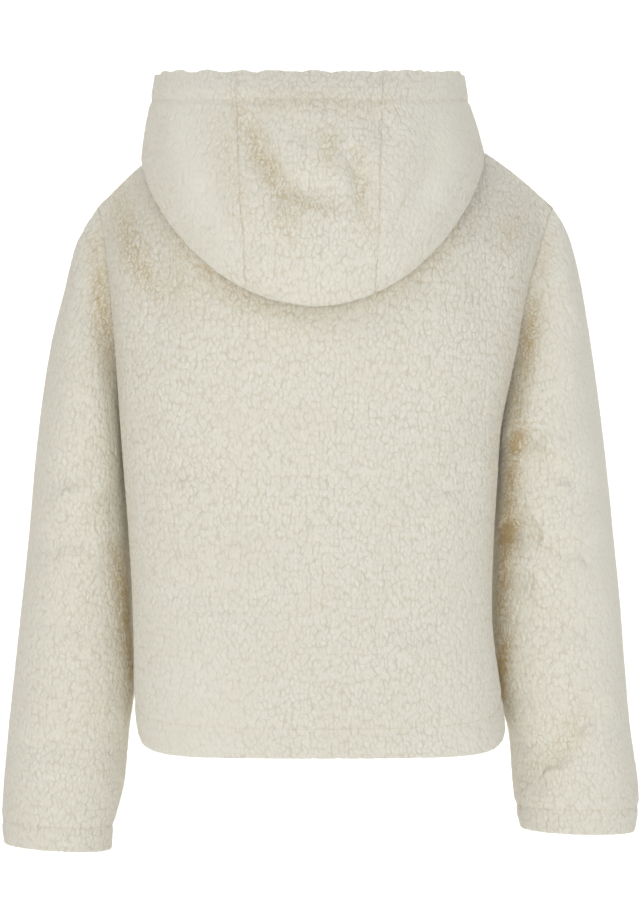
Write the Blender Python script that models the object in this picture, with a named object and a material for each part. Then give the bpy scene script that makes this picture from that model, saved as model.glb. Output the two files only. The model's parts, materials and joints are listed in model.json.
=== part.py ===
"""A hooded sherpa jacket, zipped up and filled out as worn, with its hood down.

Metres, +Z up. The front faces -Y and the wearer's left is +X. The origin is
the middle of the neck opening. Every panel is a thick pile cloth wall whose
outer face is the tips of the pile.
"""

import math

import bmesh
import bpy
import numpy as np

# Cloth and seams
WALL = 0.005  # knit backing and pile together
HEM_WALL = 0.009  # two layers where a hem is turned up
HEM_ROUND = 0.004  # rounding at a turned edge
HEM_ROUND_DEEP = 0.8  # depth of that rounding, as a share of its height
HEM_CUT_WALL = 0.0035  # at the very edge of the turned hem
THIN_WALL = 0.0015
STITCH_DIP = 0.0018  # how far the stitching pulls a hem in
STITCH_WIDE = 0.0025
HEM_SPREAD = 0.005  # over which a hem's wall becomes single cloth
ZIP_FLAT = 6.0  # degrees from the centre front in which the wall stays thin
ZIP_FLAT_SPREAD = 8.0
SEAM_GAP = 0.0003
ARMHOLE_GAP = 0.0008  # measured along X, so that the slanted faces are SEAM_GAP apart
NECK_GAP = 0.0008  # measured up the hood

# Neck opening
NECK_HALF_WIDE = 0.080
NECK_SIDE_Y = 0.008
NECK_BACK_Y = 0.072
NECK_FRONT_Y = -0.080
NECK_FRONT_DROP = 0.068

# Body sections, from the hem edge up to the neck and shoulder seams
SIDE_SEAM = 100.0  # degrees round from the centre back
BACK_OPEN = 13.0  # how far the armhole cuts into the back, in degrees
FRONT_OPEN = 20.0
BACK_ROUND = 2.35  # 2 is an ellipse, and more is squarer
FRONT_ROUND = 2.2
NECK_TURN_BACK = 40.0  # where the neckline meets the shoulder seam
NECK_TURN_FRONT = 146.0
UNDERARM = 5
BODY_TOP = 9
YOKE_START = 7.3
HEM_FLAT_ROWS = 3.0
HEM_CORNER = 2.8  # how squarely the hem turns up at the sides
BODY = {
    "columns": (
        "back_z", "side_z", "front_z", "left_x", "right_x", "side_y", "back_y", "front_y"
    ),
    "rows": (
        (-0.593, -0.566, -0.585, 0.1675, 0.1785, 0.030, 0.107, -0.107),
        (-0.565, -0.538, -0.557, 0.1710, 0.1750, 0.030, 0.110, -0.110),
        (-0.487, -0.470, -0.485, 0.1720, 0.1660, 0.031, 0.111, -0.114),
        (-0.405, -0.398, -0.407, 0.1755, 0.1670, 0.032, 0.113, -0.119),
        (-0.335, -0.332, -0.340, 0.1805, 0.1710, 0.033, 0.117, -0.124),
        (-0.285, -0.285, -0.292, 0.1840, 0.1745, 0.034, 0.121, -0.128),
        (-0.215, -0.218, -0.225, 0.1885, 0.1880, 0.034, 0.124, -0.129),
        (-0.140, -0.160, -0.165, 0.1940, 0.1990, 0.030, 0.119, -0.122),
        (-0.062, -0.112, -0.112, 0.2000, 0.2130, 0.020, 0.100, -0.103),
        (0.000, -0.078, -0.068, 0.2065, 0.2240, 0.010, 0.072, -0.080),
    ),
}
SHOULDER_BULGE = 0.011  # how far the shoulder seam rises over a straight line
SHOULDER_Y = 0.010

# Sleeve sections, from the armhole to the cuff's edge: the outer line of the
# sleeve, its underarm line, and its depth from front to back
SLEEVE_ROUND = 2.15
SLEEVE_BLEND = 3.0  # rows over which the armhole's shape passes into an oval
SLEEVE_LEFT = {
    "columns": ("out_x", "out_z", "in_x", "in_z", "mid_y", "half_deep"),
    "rows": (
        (0.2065, -0.078, 0.1835, -0.285, -0.006, 0.052),
        (0.2270, -0.112, 0.1835, -0.290, -0.008, 0.058),
        (0.2390, -0.155, 0.1830, -0.300, -0.011, 0.062),
        (0.2520, -0.205, 0.1820, -0.318, -0.015, 0.065),
        (0.2620, -0.265, 0.1805, -0.345, -0.020, 0.066),
        (0.2690, -0.325, 0.1785, -0.380, -0.024, 0.065),
        (0.2750, -0.390, 0.1760, -0.425, -0.027, 0.062),
        (0.2820, -0.455, 0.1745, -0.475, -0.029, 0.059),
        (0.2885, -0.515, 0.1720, -0.523, -0.029, 0.056),
        (0.2945, -0.572, 0.1785, -0.576, -0.028, 0.053),
        (0.2990, -0.625, 0.1835, -0.628, -0.026, 0.051),
        (0.3010, -0.662, 0.1930, -0.667, -0.025, 0.050),
        (0.2985, -0.685, 0.1950, -0.691, -0.024, 0.048),
    ),
}
SLEEVE_RIGHT = {
    "columns": SLEEVE_LEFT["columns"],
    "rows": (
        (0.2240, -0.078, 0.1740, -0.285, -0.006, 0.052),
        (0.2400, -0.106, 0.1740, -0.290, -0.008, 0.058),
        (0.2520, -0.150, 0.1735, -0.300, -0.011, 0.062),
        (0.2617, -0.205, 0.1725, -0.318, -0.015, 0.065),
        (0.2705, -0.265, 0.1710, -0.345, -0.020, 0.066),
        (0.2780, -0.325, 0.1695, -0.380, -0.024, 0.065),
        (0.2848, -0.390, 0.1680, -0.425, -0.027, 0.062),
        (0.2915, -0.455, 0.1670, -0.475, -0.029, 0.059),
        (0.2960, -0.515, 0.1690, -0.523, -0.029, 0.057),
        (0.3010, -0.572, 0.1835, -0.576, -0.028, 0.054),
        (0.3080, -0.622, 0.1875, -0.622, -0.026, 0.052),
        (0.3090, -0.649, 0.1905, -0.648, -0.025, 0.051),
        (0.3050, -0.674, 0.1955, -0.671, -0.024, 0.048),
    ),
}
CUFF_STITCH = 11
CUFF_EDGE = 12

# Hood lines, from the neck seam over the roll, down under the pouch, round
# its bottom and up the outside to the rim
HOOD_SEAM_LEFT = 23.0  # degrees round from the centre back
HOOD_SEAM_RIGHT = 20.0
HOOD_FRONT = 172.0
HOOD_BELLY = 1.4  # how fast the lines rise from the centre back to the sides
HOOD_CLEAR = 0.0068  # over the shoulder seam
HOOD_SOFT = 0.006
SHOULDER_FALL = 0.032  # how far the shoulder falls 50 mm in front of or behind its seam
HOOD_STITCH = 8
HOOD_RIM = 9
HOOD = {
    "columns": (
        "back_y", "back_z", "left_x", "right_x", "side_y", "side_z",
        "front_x", "front_y", "front_z", "round",
    ),
    "rows": (
        (0.072, 0.000, 0.080, 0.080, 0.008, 0.000, 0.000, -0.080, -0.068, 2.0),
        (0.082, 0.020, 0.087, 0.087, 0.012, 0.018, 0.000, -0.085, -0.053, 2.0),
        (0.103, 0.008, 0.103, 0.101, 0.018, 0.015, 0.000, -0.092, -0.050, 2.0),
        (0.124, -0.070, 0.133, 0.130, 0.028, -0.004, 0.000, -0.098, -0.054, 2.0),
        (0.138, -0.150, 0.156, 0.152, 0.036, -0.028, 0.000, -0.103, -0.060, 2.0),
        (0.156, -0.180, 0.163, 0.157, 0.044, -0.038, 0.000, -0.107, -0.058, 2.0),
        (0.172, -0.137, 0.1625, 0.1560, 0.048, -0.026, 0.000, -0.109, -0.050, 2.1),
        (0.168, -0.060, 0.1590, 0.1500, 0.051, -0.004, 0.000, -0.109, -0.043, 2.3),
        (0.146, 0.008, 0.1545, 0.1430, 0.053, 0.016, 0.000, -0.106, -0.034, 2.5),
        (0.128, 0.038, 0.1505, 0.1390, 0.054, 0.043, 0.000, -0.098, -0.020, 2.6),
    ),
}

# Large folds, as lines of (x, z) seen from the back or the front
FOLDS = {
    "hood": {
        "columns": ("path", "depth", "half_wide"),
        "rows": (
            (((0.066, 0.004), (0.050, -0.040), (0.030, -0.072), (-0.012, -0.080)), 0.010, 0.016),
            (((-0.030, -0.034), (-0.044, -0.060), (-0.044, -0.094)), 0.006, 0.012),
            (((-0.055, 0.004), (-0.060, -0.030)), 0.004, 0.012),
            (((0.120, 0.000), (0.100, -0.050), (0.090, -0.090)), 0.004, 0.018),
            (((-0.110, 0.000), (-0.104, -0.050), (-0.085, -0.095)), 0.004, 0.018),
        ),
    },
    "back": {
        "columns": ("path", "depth", "half_wide"),
        "rows": (
            (((0.160, -0.085), (0.150, -0.140), (0.140, -0.200)), 0.006, 0.022),
            (((-0.175, -0.090), (-0.165, -0.140), (-0.150, -0.200)), 0.005, 0.022),
            (((0.110, -0.300), (0.060, -0.380), (0.050, -0.470)), 0.003, 0.035),
            (((-0.120, -0.280), (-0.080, -0.360), (-0.070, -0.440)), 0.003, 0.035),
        ),
    },
    "front": {
        "columns": ("path", "depth", "half_wide"),
        "rows": (
            (((0.150, -0.130), (0.110, -0.200), (0.095, -0.260)), 0.005, 0.024),
            (((-0.150, -0.125), (-0.115, -0.190), (-0.090, -0.270)), 0.005, 0.022),
            (((0.110, -0.360), (0.080, -0.430), (0.075, -0.500)), 0.004, 0.028),
            (((-0.100, -0.330), (-0.085, -0.420), (-0.070, -0.480)), 0.004, 0.030),
        ),
    },
}

# Zip
ZIP_HALF = 0.009  # from the centre line to each front's edge
TAPE_IN = 0.0029
TAPE_OUT = 0.015
TAPE_THICK = 0.0009
TAPE_DEPTH = WALL + 0.0011 + TAPE_THICK / 2  # its middle, under the pile's tips
CHAIN_HALF = 0.0025
CHAIN_THICK = 0.0022
BOX_TALL = 0.011
BOX_THICK = 0.0036
SLIDER_LEVEL = 8.3
SLIDER_LONG = 0.012
SLIDER_HALF = 0.0046
SLIDER_WEB_HALF = 0.0025
PLATE_IN = 0.0008  # from the tape's middle to each plate
PLATE_THICK = 0.0012
BRIDGE_LONG = 0.0072
BRIDGE_HALF = 0.0009
BRIDGE_ROOM = 0.0022  # under the bridge, for the pull tab's bar
BRIDGE_THICK = 0.0009
BRIDGE_POST = 0.0012
BRIDGE_SINK = 0.0003  # how far its posts go into the plate and its top
ZIP_END = 0.0015  # from the tapes' ends to the hem and the neck
TAB_BAR = 0.0012
TAB_HALF = 0.0034
TAB_ARM = 0.0014
TAB_NECK = 0.0047  # from the hinge to where the tab becomes solid
TAB_LONG = 0.026

# How finely each piece is divided
BODY_HEM_STEPS = (0.0, 0.15, 0.45, 0.86, 1.0, 1.16)
BODY_LOW_ROWS = 8
BODY_HIGH_ROWS = 10
BACK_COLUMNS = 26
FRONT_COLUMNS = 12
SLEEVE_ROWS = 19
SLEEVE_HEM_STEPS = (0.84, 1.0, 1.14, 1.55, 1.85, 2.0)
HOOD_ROWS = 15
HOOD_HEM_STEPS = (0.82, 1.0, 1.14, 1.55, 1.85, 2.0)
HOOD_BACK_COLUMNS = 6
HOOD_FRONT_COLUMNS = 8
HOOD_CENTRE_COLUMNS = 8
ZIP_ROWS = 24
STEP = 0.02  # for slopes, in rows
TURN_STEP = 0.5  # for slopes, in degrees


def read(table, name, at):
    """The smooth value of one column at row numbers `at`."""
    place = table["columns"].index(name)
    values = np.array([row[place] for row in table["rows"]])
    last = len(values) - 1
    at = np.clip(np.asarray(at, float), 0, last)
    low = np.minimum(at.astype(int), last - 1)
    part = at - low
    before = values[np.maximum(low - 1, 0)]
    start = values[low]
    end = values[low + 1]
    after = values[np.minimum(low + 2, last)]
    bend = 3 * (start - end) + after - before
    slope = 2 * before - 5 * start + 4 * end - after
    return start + 0.5 * part * (end - before + part * (slope + part * bend))


def ease(value):
    """A smooth step from 0 to 1."""
    value = np.clip(value, 0, 1)
    return value * value * (3 - 2 * value)


def unit(vectors):
    return vectors / np.maximum(np.linalg.norm(vectors, axis=-1, keepdims=True), 1e-12)


def power(value, exponent):
    """A power that keeps the sign."""
    return np.sign(value) * np.abs(value) ** exponent


def fold_depth(x, z, name):
    """How far the folds of one group press the cloth in at (x, z)."""
    total = np.zeros(np.shape(x))
    for path, depth, half_wide in FOLDS[name]["rows"]:
        spots = np.array(path)
        runs = np.linalg.norm(np.diff(spots, axis=0), axis=1)
        whole = runs.sum()
        done = 0.0
        pressed = np.zeros(np.shape(x))
        for start, end, run in zip(spots[:-1], spots[1:], runs):
            way = (end - start) / run
            along = np.clip((x - start[0]) * way[0] + (z - start[1]) * way[1], 0, run)
            away = np.hypot(x - start[0] - along * way[0], z - start[1] - along * way[1])
            middle = np.sin(np.pi * np.clip(0.12 + 0.76 * (done + along) / whole, 0, 1))
            pressed = np.maximum(pressed, depth * middle * np.exp(-((away / half_wide) ** 2)))
            done += run
        total = total + pressed
    return total


def neckline(turn):
    """The neck seam, with `turn` in degrees from the centre back."""
    angle = np.radians(np.abs(turn))
    across = np.sin(angle)
    ahead = np.abs(np.cos(angle))
    back = np.abs(turn) <= 90
    x = np.sign(turn) * NECK_HALF_WIDE * across
    reach = np.where(back, NECK_BACK_Y, NECK_FRONT_Y) - NECK_SIDE_Y
    z = np.where(back, 0.0, -NECK_FRONT_DROP) * ahead**1.2
    return np.stack([x, NECK_SIDE_Y + reach * ahead, z], axis=-1)


def shoulder(side, part):
    """The shoulder seam, from the neck (part 0) to the sleeve (part 1)."""
    end_x = read(BODY, "left_x" if side > 0 else "right_x", BODY_TOP)
    end_z = read(BODY, "side_z", BODY_TOP)
    x = NECK_HALF_WIDE + (end_x - NECK_HALF_WIDE) * part
    z = end_z * np.maximum(part, 0) ** 1.25 + SHOULDER_BULGE * np.sin(np.pi * part)
    y = NECK_SIDE_Y + (SHOULDER_Y - NECK_SIDE_Y) * part
    return np.stack([side * x, y + 0 * part, z], axis=-1)


def armhole_part(level):
    return np.clip((np.asarray(level, float) - UNDERARM) / (BODY_TOP - UNDERARM), 0, 1)


def back_edge(level):
    """Where the back ends, in degrees: the side seam and then the armhole."""
    return SIDE_SEAM - BACK_OPEN * np.sqrt(armhole_part(level))


def front_edge(level):
    return SIDE_SEAM + FRONT_OPEN * np.sqrt(armhole_part(level))


def yoke_point(turn):
    """The neck and shoulder seams, reached by a turn round the body."""
    size = np.abs(turn)
    side = np.where(turn < 0, -1.0, 1.0)
    back = size <= SIDE_SEAM
    corner = np.where(back, NECK_TURN_BACK, NECK_TURN_FRONT)
    edge = np.where(back, back_edge(BODY_TOP), front_edge(BODY_TOP))
    inside = np.where(back, size < corner, size > corner)
    neck_part = np.where(back, size / corner, (180 - size) / (180 - corner))
    neck_turn = np.where(back, 90 * neck_part, 180 - 90 * neck_part)
    on_neck = neckline(side * np.clip(neck_turn, 0, 180))
    out = np.clip((size - corner) / (edge - corner), 0, 1)
    left = shoulder(1, out)
    right = shoulder(-1, out)
    on_shoulder = np.where((side > 0)[..., None], left, right)
    return np.where(inside[..., None], on_neck, on_shoulder)


def body_smooth(turn, level):
    """The body's outer face with no folds."""
    turn = np.asarray(turn, float)
    level = np.asarray(level, float)
    turn, level = np.broadcast_arrays(turn, level)
    angle = np.radians(np.abs(turn))
    back = np.abs(turn) <= 90
    half = np.where(turn >= 0, read(BODY, "left_x", level), read(BODY, "right_x", level))
    bow = 2 / np.where(back, BACK_ROUND, FRONT_ROUND)
    ahead = np.abs(np.cos(angle)) ** bow
    side_y = read(BODY, "side_y", level)
    side_z = read(BODY, "side_z", level)
    end_y = np.where(back, read(BODY, "back_y", level), read(BODY, "front_y", level))
    end_z = np.where(back, read(BODY, "back_z", level), read(BODY, "front_z", level))
    x = np.sign(turn) * half * np.abs(np.sin(angle)) ** bow
    y = side_y + (end_y - side_y) * ahead
    low = ease(1 - level / HEM_FLAT_ROWS)
    rise = low * (1 - (1 - ahead) ** HEM_CORNER) + (1 - low) * ahead**1.4
    z = side_z + (end_z - side_z) * rise
    section = np.stack([x, y, z], axis=-1)
    share = ease((level - YOKE_START) / (BODY_TOP - YOKE_START))[..., None]
    return section * (1 - share) + yoke_point(turn) * share


def slopes(surface, around, along, round_step, along_step):
    """Unit vectors square to a surface, from its slopes."""
    across = surface(around + round_step, along) - surface(around - round_step, along)
    up = surface(around, along + along_step) - surface(around, along - along_step)
    return unit(np.cross(across, up))


def body_normal(turn, level):
    level = np.clip(level, STEP, BODY_TOP - STEP)
    return -slopes(body_smooth, turn, level, TURN_STEP, STEP)


def body_point(turn, level):
    """The body's outer face, with its large folds."""
    point = body_smooth(turn, level)
    normal = body_normal(turn, level)
    back = ease((normal[..., 1] - 0.1) / 0.4) * fold_depth(point[..., 0], point[..., 2], "back")
    front = ease((-normal[..., 1] - 0.1) / 0.4) * fold_depth(point[..., 0], point[..., 2], "front")
    return point - normal * (back + front)[..., None]


def armhole_level(around):
    """The body's row at an angle round the armhole: 0 is its top, 180 the underarm."""
    part = 1 - np.abs(180 - np.abs(180 - np.mod(around, 360))) / 180
    return UNDERARM + (BODY_TOP - UNDERARM) * part**1.35


def armhole(side, around):
    """A point of the armhole seam. The back half is 0 to 180 and the front 180 to 360."""
    around = np.mod(around, 360)
    level = armhole_level(around)
    turn = np.where(around <= 180, back_edge(level), front_edge(level))
    return body_point(side * turn, level)


def armhole_normal(side, around):
    """The direction that the walls on both sides of the armhole seam share."""
    point = armhole(side, around)
    ends = armhole(side, np.array([0.0, 180.0]))
    middle = ends.mean(axis=0)
    out = point - middle
    out[..., 0] = 0
    out = unit(out)
    out[..., 0] = side * np.abs(np.sin(np.radians(around)))
    return unit(out)


def sleeve_oval(side, around, row):
    """A sleeve's outer face as plain ovals. Around: 0 outer, 90 back, 180 inner, 270 front."""
    table = SLEEVE_LEFT if side > 0 else SLEEVE_RIGHT
    angle = np.radians(around)
    wide = power(np.cos(angle), 2 / SLEEVE_ROUND)
    deep = power(np.sin(angle), 2 / SLEEVE_ROUND)
    out_x, out_z = read(table, "out_x", row), read(table, "out_z", row)
    in_x, in_z = read(table, "in_x", row), read(table, "in_z", row)
    x = (out_x + in_x) / 2 + (out_x - in_x) / 2 * wide
    z = (out_z + in_z) / 2 + (out_z - in_z) / 2 * wide
    y = read(table, "mid_y", row) + read(table, "half_deep", row) * deep
    return np.stack([side * x, y, z], axis=-1)


def sleeve_surface(side):
    def surface(around, row):
        around, row = np.broadcast_arrays(np.asarray(around, float), np.asarray(row, float))
        oval = sleeve_oval(side, around, row)
        seam = armhole(side, around) - sleeve_oval(side, around, 0 * row)
        share = ease(1 - row / SLEEVE_BLEND)[..., None]
        return oval + seam * share

    return surface


def shoulder_top(x, y):
    """Roughly how high the top of the shoulders is at (x, y)."""
    heights = []
    for side, name in ((1, "left_x"), (-1, "right_x")):
        end_x = read(BODY, name, BODY_TOP)
        part = np.clip((side * x - NECK_HALF_WIDE) / (end_x - NECK_HALF_WIDE), 0, 1)
        heights.append(shoulder(side, part)[..., 2])
    height = np.where(x > 0, heights[0], heights[1])
    return height - SHOULDER_FALL * ((y - SHOULDER_Y) / 0.05) ** 2


def hood_surface(turn, row):
    """The hood's outer face. Turn is in degrees from the centre back."""
    turn, row = np.broadcast_arrays(np.asarray(turn, float), np.asarray(row, float))
    angle = np.radians(np.abs(turn))
    back = np.abs(turn) <= 90
    bow = 2 / read(HOOD, "round", row)
    across = np.abs(np.sin(angle)) ** bow
    ahead = np.abs(np.cos(angle)) ** bow
    half = np.where(turn >= 0, read(HOOD, "left_x", row), read(HOOD, "right_x", row))
    end_x = np.where(back, 0.0, read(HOOD, "front_x", row))
    end_y = np.where(back, read(HOOD, "back_y", row), read(HOOD, "front_y", row))
    end_z = np.where(back, read(HOOD, "back_z", row), read(HOOD, "front_z", row))
    side_y = read(HOOD, "side_y", row)
    side_z = read(HOOD, "side_z", row)
    x = np.sign(turn) * (end_x + (half - end_x) * across)
    y = side_y + (end_y - side_y) * ahead
    z = side_z + (end_z - side_z) * np.where(back, ahead**HOOD_BELLY, ahead**1.2)
    rest = shoulder_top(x, y) + HOOD_CLEAR
    lifted = (z + rest + np.hypot(z - rest, HOOD_SOFT)) / 2
    z = z + (lifted - z) * ease(row / 2)
    return np.stack([x, y, z], axis=-1)


def hood_normal(turn, row):
    row = np.clip(row, STEP, HOOD_RIM - STEP)
    turn = np.clip(turn, TURN_STEP - 180, 180 - TURN_STEP)
    return -slopes(hood_surface, turn, row, TURN_STEP, STEP)


def hood_point(turn, row):
    point = hood_surface(turn, row)
    normal = hood_normal(turn, row)
    outside = ease((row - HOOD_STITCH + 3.5) / 1.5) * ease((normal[..., 1] - 0.1) / 0.4)
    pressed = outside * fold_depth(point[..., 0], point[..., 2], "hood")
    return point - normal * pressed[..., None]


def turned_edge(away, band):
    """(drop of the outer face, wall) at a distance from a turned edge whose hem is `band`."""
    rounding = np.clip(1 - away / HEM_ROUND, 0, 1)
    drop = HEM_ROUND * (1 - np.sqrt(np.maximum(1 - rounding**2, 0))) * HEM_ROUND_DEEP
    dip = STITCH_DIP * np.exp(-(((away - band) / STITCH_WIDE) ** 2))
    doubled = ease((band - away) / HEM_SPREAD + HEM_ROUND_DEEP)
    thick = WALL + (HEM_WALL - WALL) * doubled
    return drop + dip, np.maximum(thick - 2 * drop - dip, THIN_WALL)


def wall_mesh(name, outer, inner, closed=False):
    """One closed body between two grids of points, open ended or round.

    Its cut faces are split the same way as those of the panel across a seam.
    """
    rows, columns = outer.shape[:2]
    count = rows * columns
    points = [tuple(point) for point in outer.reshape(-1, 3)]
    points += [tuple(point) for point in inner.reshape(-1, 3)]
    faces = []
    for row in range(rows - 1):
        for column in range(columns if closed else columns - 1):
            follow = (column + 1) % columns
            corners = (
                row * columns + column,
                row * columns + follow,
                (row + 1) * columns + follow,
                (row + 1) * columns + column,
            )
            faces.append(corners)
            faces.append(tuple(count + corner for corner in reversed(corners)))
    for row in (0, rows - 1):
        for column in range(columns if closed else columns - 1):
            start = row * columns + column
            end = row * columns + (column + 1) % columns
            if column < columns / 2:
                start, end = end, start
            faces.append((start, end, count + end))
            faces.append((start, count + end, count + start))
    if not closed:
        for column in (0, columns - 1):
            for row in range(rows - 1):
                start = row * columns + column
                end = (row + 1) * columns + column
                faces.append((start, end, count + end))
                faces.append((start, count + end, count + start))
    mesh = bpy.data.meshes.new(name)
    mesh.from_pydata(points, [], faces)
    return finish_mesh(name, mesh)


def finish_mesh(name, mesh):
    """Closes up the normals, shades round stretches smooth and links the object."""
    shape = bmesh.new()
    shape.from_mesh(mesh)
    bmesh.ops.remove_doubles(shape, verts=shape.verts, dist=1e-6)
    bmesh.ops.recalc_face_normals(shape, faces=shape.faces)
    shape.to_mesh(mesh)
    shape.free()
    mesh.shade_smooth()
    mesh.set_sharp_from_angle(angle=math.radians(40))
    piece = bpy.data.objects.new(name, mesh)
    bpy.context.scene.collection.objects.link(piece)
    return piece


def body_levels():
    """Rows shared by the back and the fronts. The upper ones meet the sleeves' columns."""
    low = np.linspace(BODY_HEM_STEPS[-1], UNDERARM, BODY_LOW_ROWS + 1)[1:]
    around = np.linspace(180, 0, BODY_HIGH_ROWS + 1)[1:]
    return np.concatenate([BODY_HEM_STEPS, low, armhole_level(around)])


def spread(start, end, level, count):
    """Turns between two edges of a body row that space its points evenly."""
    fine = np.linspace(start, end, 181)
    line = body_smooth(fine, level + 0 * fine)
    run = np.concatenate([[0], np.cumsum(np.linalg.norm(np.diff(line, axis=0), axis=1))])
    return np.interp(np.linspace(0, run[-1], count + 1), run, fine)


def seam_turn(level):
    """Half a seam gap at the side seam, in degrees."""
    pace = np.linalg.norm(body_smooth(SIDE_SEAM + 0.5, level) - body_smooth(SIDE_SEAM - 0.5, level))
    return SEAM_GAP / 2 / pace


def shoulder_normal(side, part):
    """Straight up from the shoulder seam, square to it."""
    way = unit(shoulder(side, part + 0.01) - shoulder(side, part - 0.01))
    up = np.array([0.0, 0.0, 1.0])
    return unit(up - (way @ up)[..., None] * way)


def body_panel(name, start_edge, end_edge, columns, back):
    """A body panel between two edges, each a function of the row giving a turn."""
    levels = body_levels()
    turns = np.array([spread(start_edge(v), end_edge(v), v, columns) for v in levels])
    corner = NECK_TURN_BACK if back else NECK_TURN_FRONT
    for side in (-1, 1):
        nearest = np.argmin(np.abs(turns[-1] - side * corner))
        if abs(turns[-1, nearest] - side * corner) < 180 / columns:
            turns[-1, nearest] = side * corner
    rows = levels[:, None] + 0 * turns
    outer = body_point(turns, rows)
    normal = body_normal(turns, rows)
    for column in (0, -1):
        turn = turns[0, column]
        if abs(abs(turn) - SIDE_SEAM) > 1:
            continue
        side = math.copysign(1, turn)
        upper = levels >= UNDERARM - 1e-9
        part = armhole_part(levels[upper]) ** (1 / 1.35)
        around = 180 - 180 * part if back else 180 + 180 * part
        normal[upper, column] = armhole_normal(side, around)
    top = turns[-1]
    for place, turn in enumerate(top):
        side = math.copysign(1, turn)
        edge = back_edge(BODY_TOP) if back else front_edge(BODY_TOP)
        part = (abs(turn) - corner) / (edge - corner)
        if part < -1e-6:
            normal[-1, place] = unit(normal[-1, place] * (1, 1, 0))
            continue
        outer[-1, place, 1] += SEAM_GAP / 2 * (1 if back else -1)
        if part < 1e-6:
            corner_out = shoulder_normal(side, np.array([0.0]))[0] + (side, 0, 0)
            normal[-1, place] = unit(corner_out)
        elif part < 1 - 1e-6:
            normal[-1, place] = shoulder_normal(side, np.array([part]))[0]
    hem = np.linalg.norm(body_smooth(0, 1) - body_smooth(0, 0))
    drop, thick = turned_edge(rows * hem, hem)
    doubled = 1.0 if back else ease((180 - np.abs(turns) - ZIP_FLAT) / ZIP_FLAT_SPREAD)
    thick = (WALL - drop) * (1 - doubled) + thick * doubled
    thick = np.where(rows < BODY_HEM_STEPS[1] / 2, np.minimum(thick, HEM_CUT_WALL), thick)
    outer = outer - normal * drop[..., None]
    return wall_mesh(name, outer, outer - normal * thick[..., None])


def zip_turn(level, reach):
    """The turn at which a front is `reach` from the centre line."""
    fine = np.linspace(180, 160, 81)
    x = body_smooth(fine, level + 0 * fine)[:, 0]
    return float(np.interp(reach, x, fine))


def make_body():
    def seam(side, sign, edge):
        return lambda level: side * (edge(level) + sign * gap(level))

    def gap(level):
        return seam_turn(level) if level < UNDERARM + 1e-6 else 0.0

    back = body_panel(
        "back_panel", seam(-1, -1, back_edge), seam(1, -1, back_edge), BACK_COLUMNS, True
    )
    left = body_panel(
        "front_left",
        seam(1, 1, front_edge),
        lambda level: zip_turn(level, ZIP_HALF),
        FRONT_COLUMNS,
        False,
    )
    right = body_panel(
        "front_right",
        lambda level: -zip_turn(level, ZIP_HALF),
        seam(-1, 1, front_edge),
        FRONT_COLUMNS,
        False,
    )
    return [back, left, right]


def make_sleeve(name, side):
    """A sleeve, as a tube from the armhole seam to the turned cuff."""
    surface = sleeve_surface(side)
    last = CUFF_STITCH - 1
    start = SLEEVE_HEM_STEPS[0] + last
    rows = np.concatenate([np.linspace(0, start, SLEEVE_ROWS), last + np.array(SLEEVE_HEM_STEPS[1:])])
    around = np.arange(2 * BODY_HIGH_ROWS) * 180 / BODY_HIGH_ROWS
    around, rows = np.meshgrid(around, rows)
    outer = surface(around, rows)
    inside = np.clip(rows, STEP, CUFF_EDGE - STEP)
    normal = -side * slopes(surface, around, inside, TURN_STEP * 2, STEP)
    outer[0, :, 0] += side * ARMHOLE_GAP
    normal[0] = armhole_normal(side, around[0])
    edge = np.linalg.norm(surface(90, CUFF_EDGE) - surface(90, CUFF_STITCH))
    away = (CUFF_EDGE - rows) * edge
    drop, thick = turned_edge(away, edge)
    outer = outer - normal * drop[..., None]
    return wall_mesh(name, outer, outer - normal * thick[..., None], closed=True)


def make_hood():
    """The hood's left side, centre panel and right side."""
    last = HOOD_STITCH - 1
    start = last + HOOD_HEM_STEPS[0]
    rows = np.concatenate([np.linspace(0, start, HOOD_ROWS), last + np.array(HOOD_HEM_STEPS[1:])])
    half = np.degrees(SEAM_GAP / 2 / 0.12)
    ahead = np.linspace(90, HOOD_FRONT, HOOD_FRONT_COLUMNS + 1)[1:]
    left = np.linspace(HOOD_SEAM_LEFT + half, 90, HOOD_BACK_COLUMNS + 1)
    right = np.linspace(HOOD_SEAM_RIGHT + half, 90, HOOD_BACK_COLUMNS + 1)
    centre = np.linspace(half - HOOD_SEAM_RIGHT, HOOD_SEAM_LEFT - half, HOOD_CENTRE_COLUMNS + 1)
    spans = (
        ("hood_left", np.concatenate([left, ahead])),
        ("hood_centre", centre),
        ("hood_right", -np.concatenate([right, ahead])[::-1]),
    )
    made = []
    for name, columns in spans:
        turns, levels = np.meshgrid(columns, rows)
        outer = hood_point(turns, levels)
        normal = hood_normal(turns, levels)
        normal[0] = unit(normal[0] * (1, 1, 0))
        outer[0] += NECK_GAP * unit(outer[1] - outer[0])
        rim = hood_surface(turns, 0 * levels + HOOD_RIM)
        stitches = hood_surface(turns, 0 * levels + HOOD_STITCH)
        band = np.linalg.norm(rim - stitches, axis=-1)
        away = (HOOD_RIM - levels) * band
        drop, thick = turned_edge(away, band)
        outer = outer - normal * drop[..., None]
        made.append(wall_mesh(name, outer, outer - normal * thick[..., None]))
    return made


def zip_frame(level):
    """(point on the tape's middle, outward, up along the zip) at the centre front."""
    point = body_smooth(180.0, level)
    ahead = body_smooth(180.0, level + STEP) - body_smooth(180.0, level - STEP)
    up = unit(ahead * (0, 1, 1))
    out = np.array([0.0, -up[2], up[1]])
    out = out if out[1] < 0 else -out
    return point * (0, 1, 1) - out * TAPE_DEPTH, out, up


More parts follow.
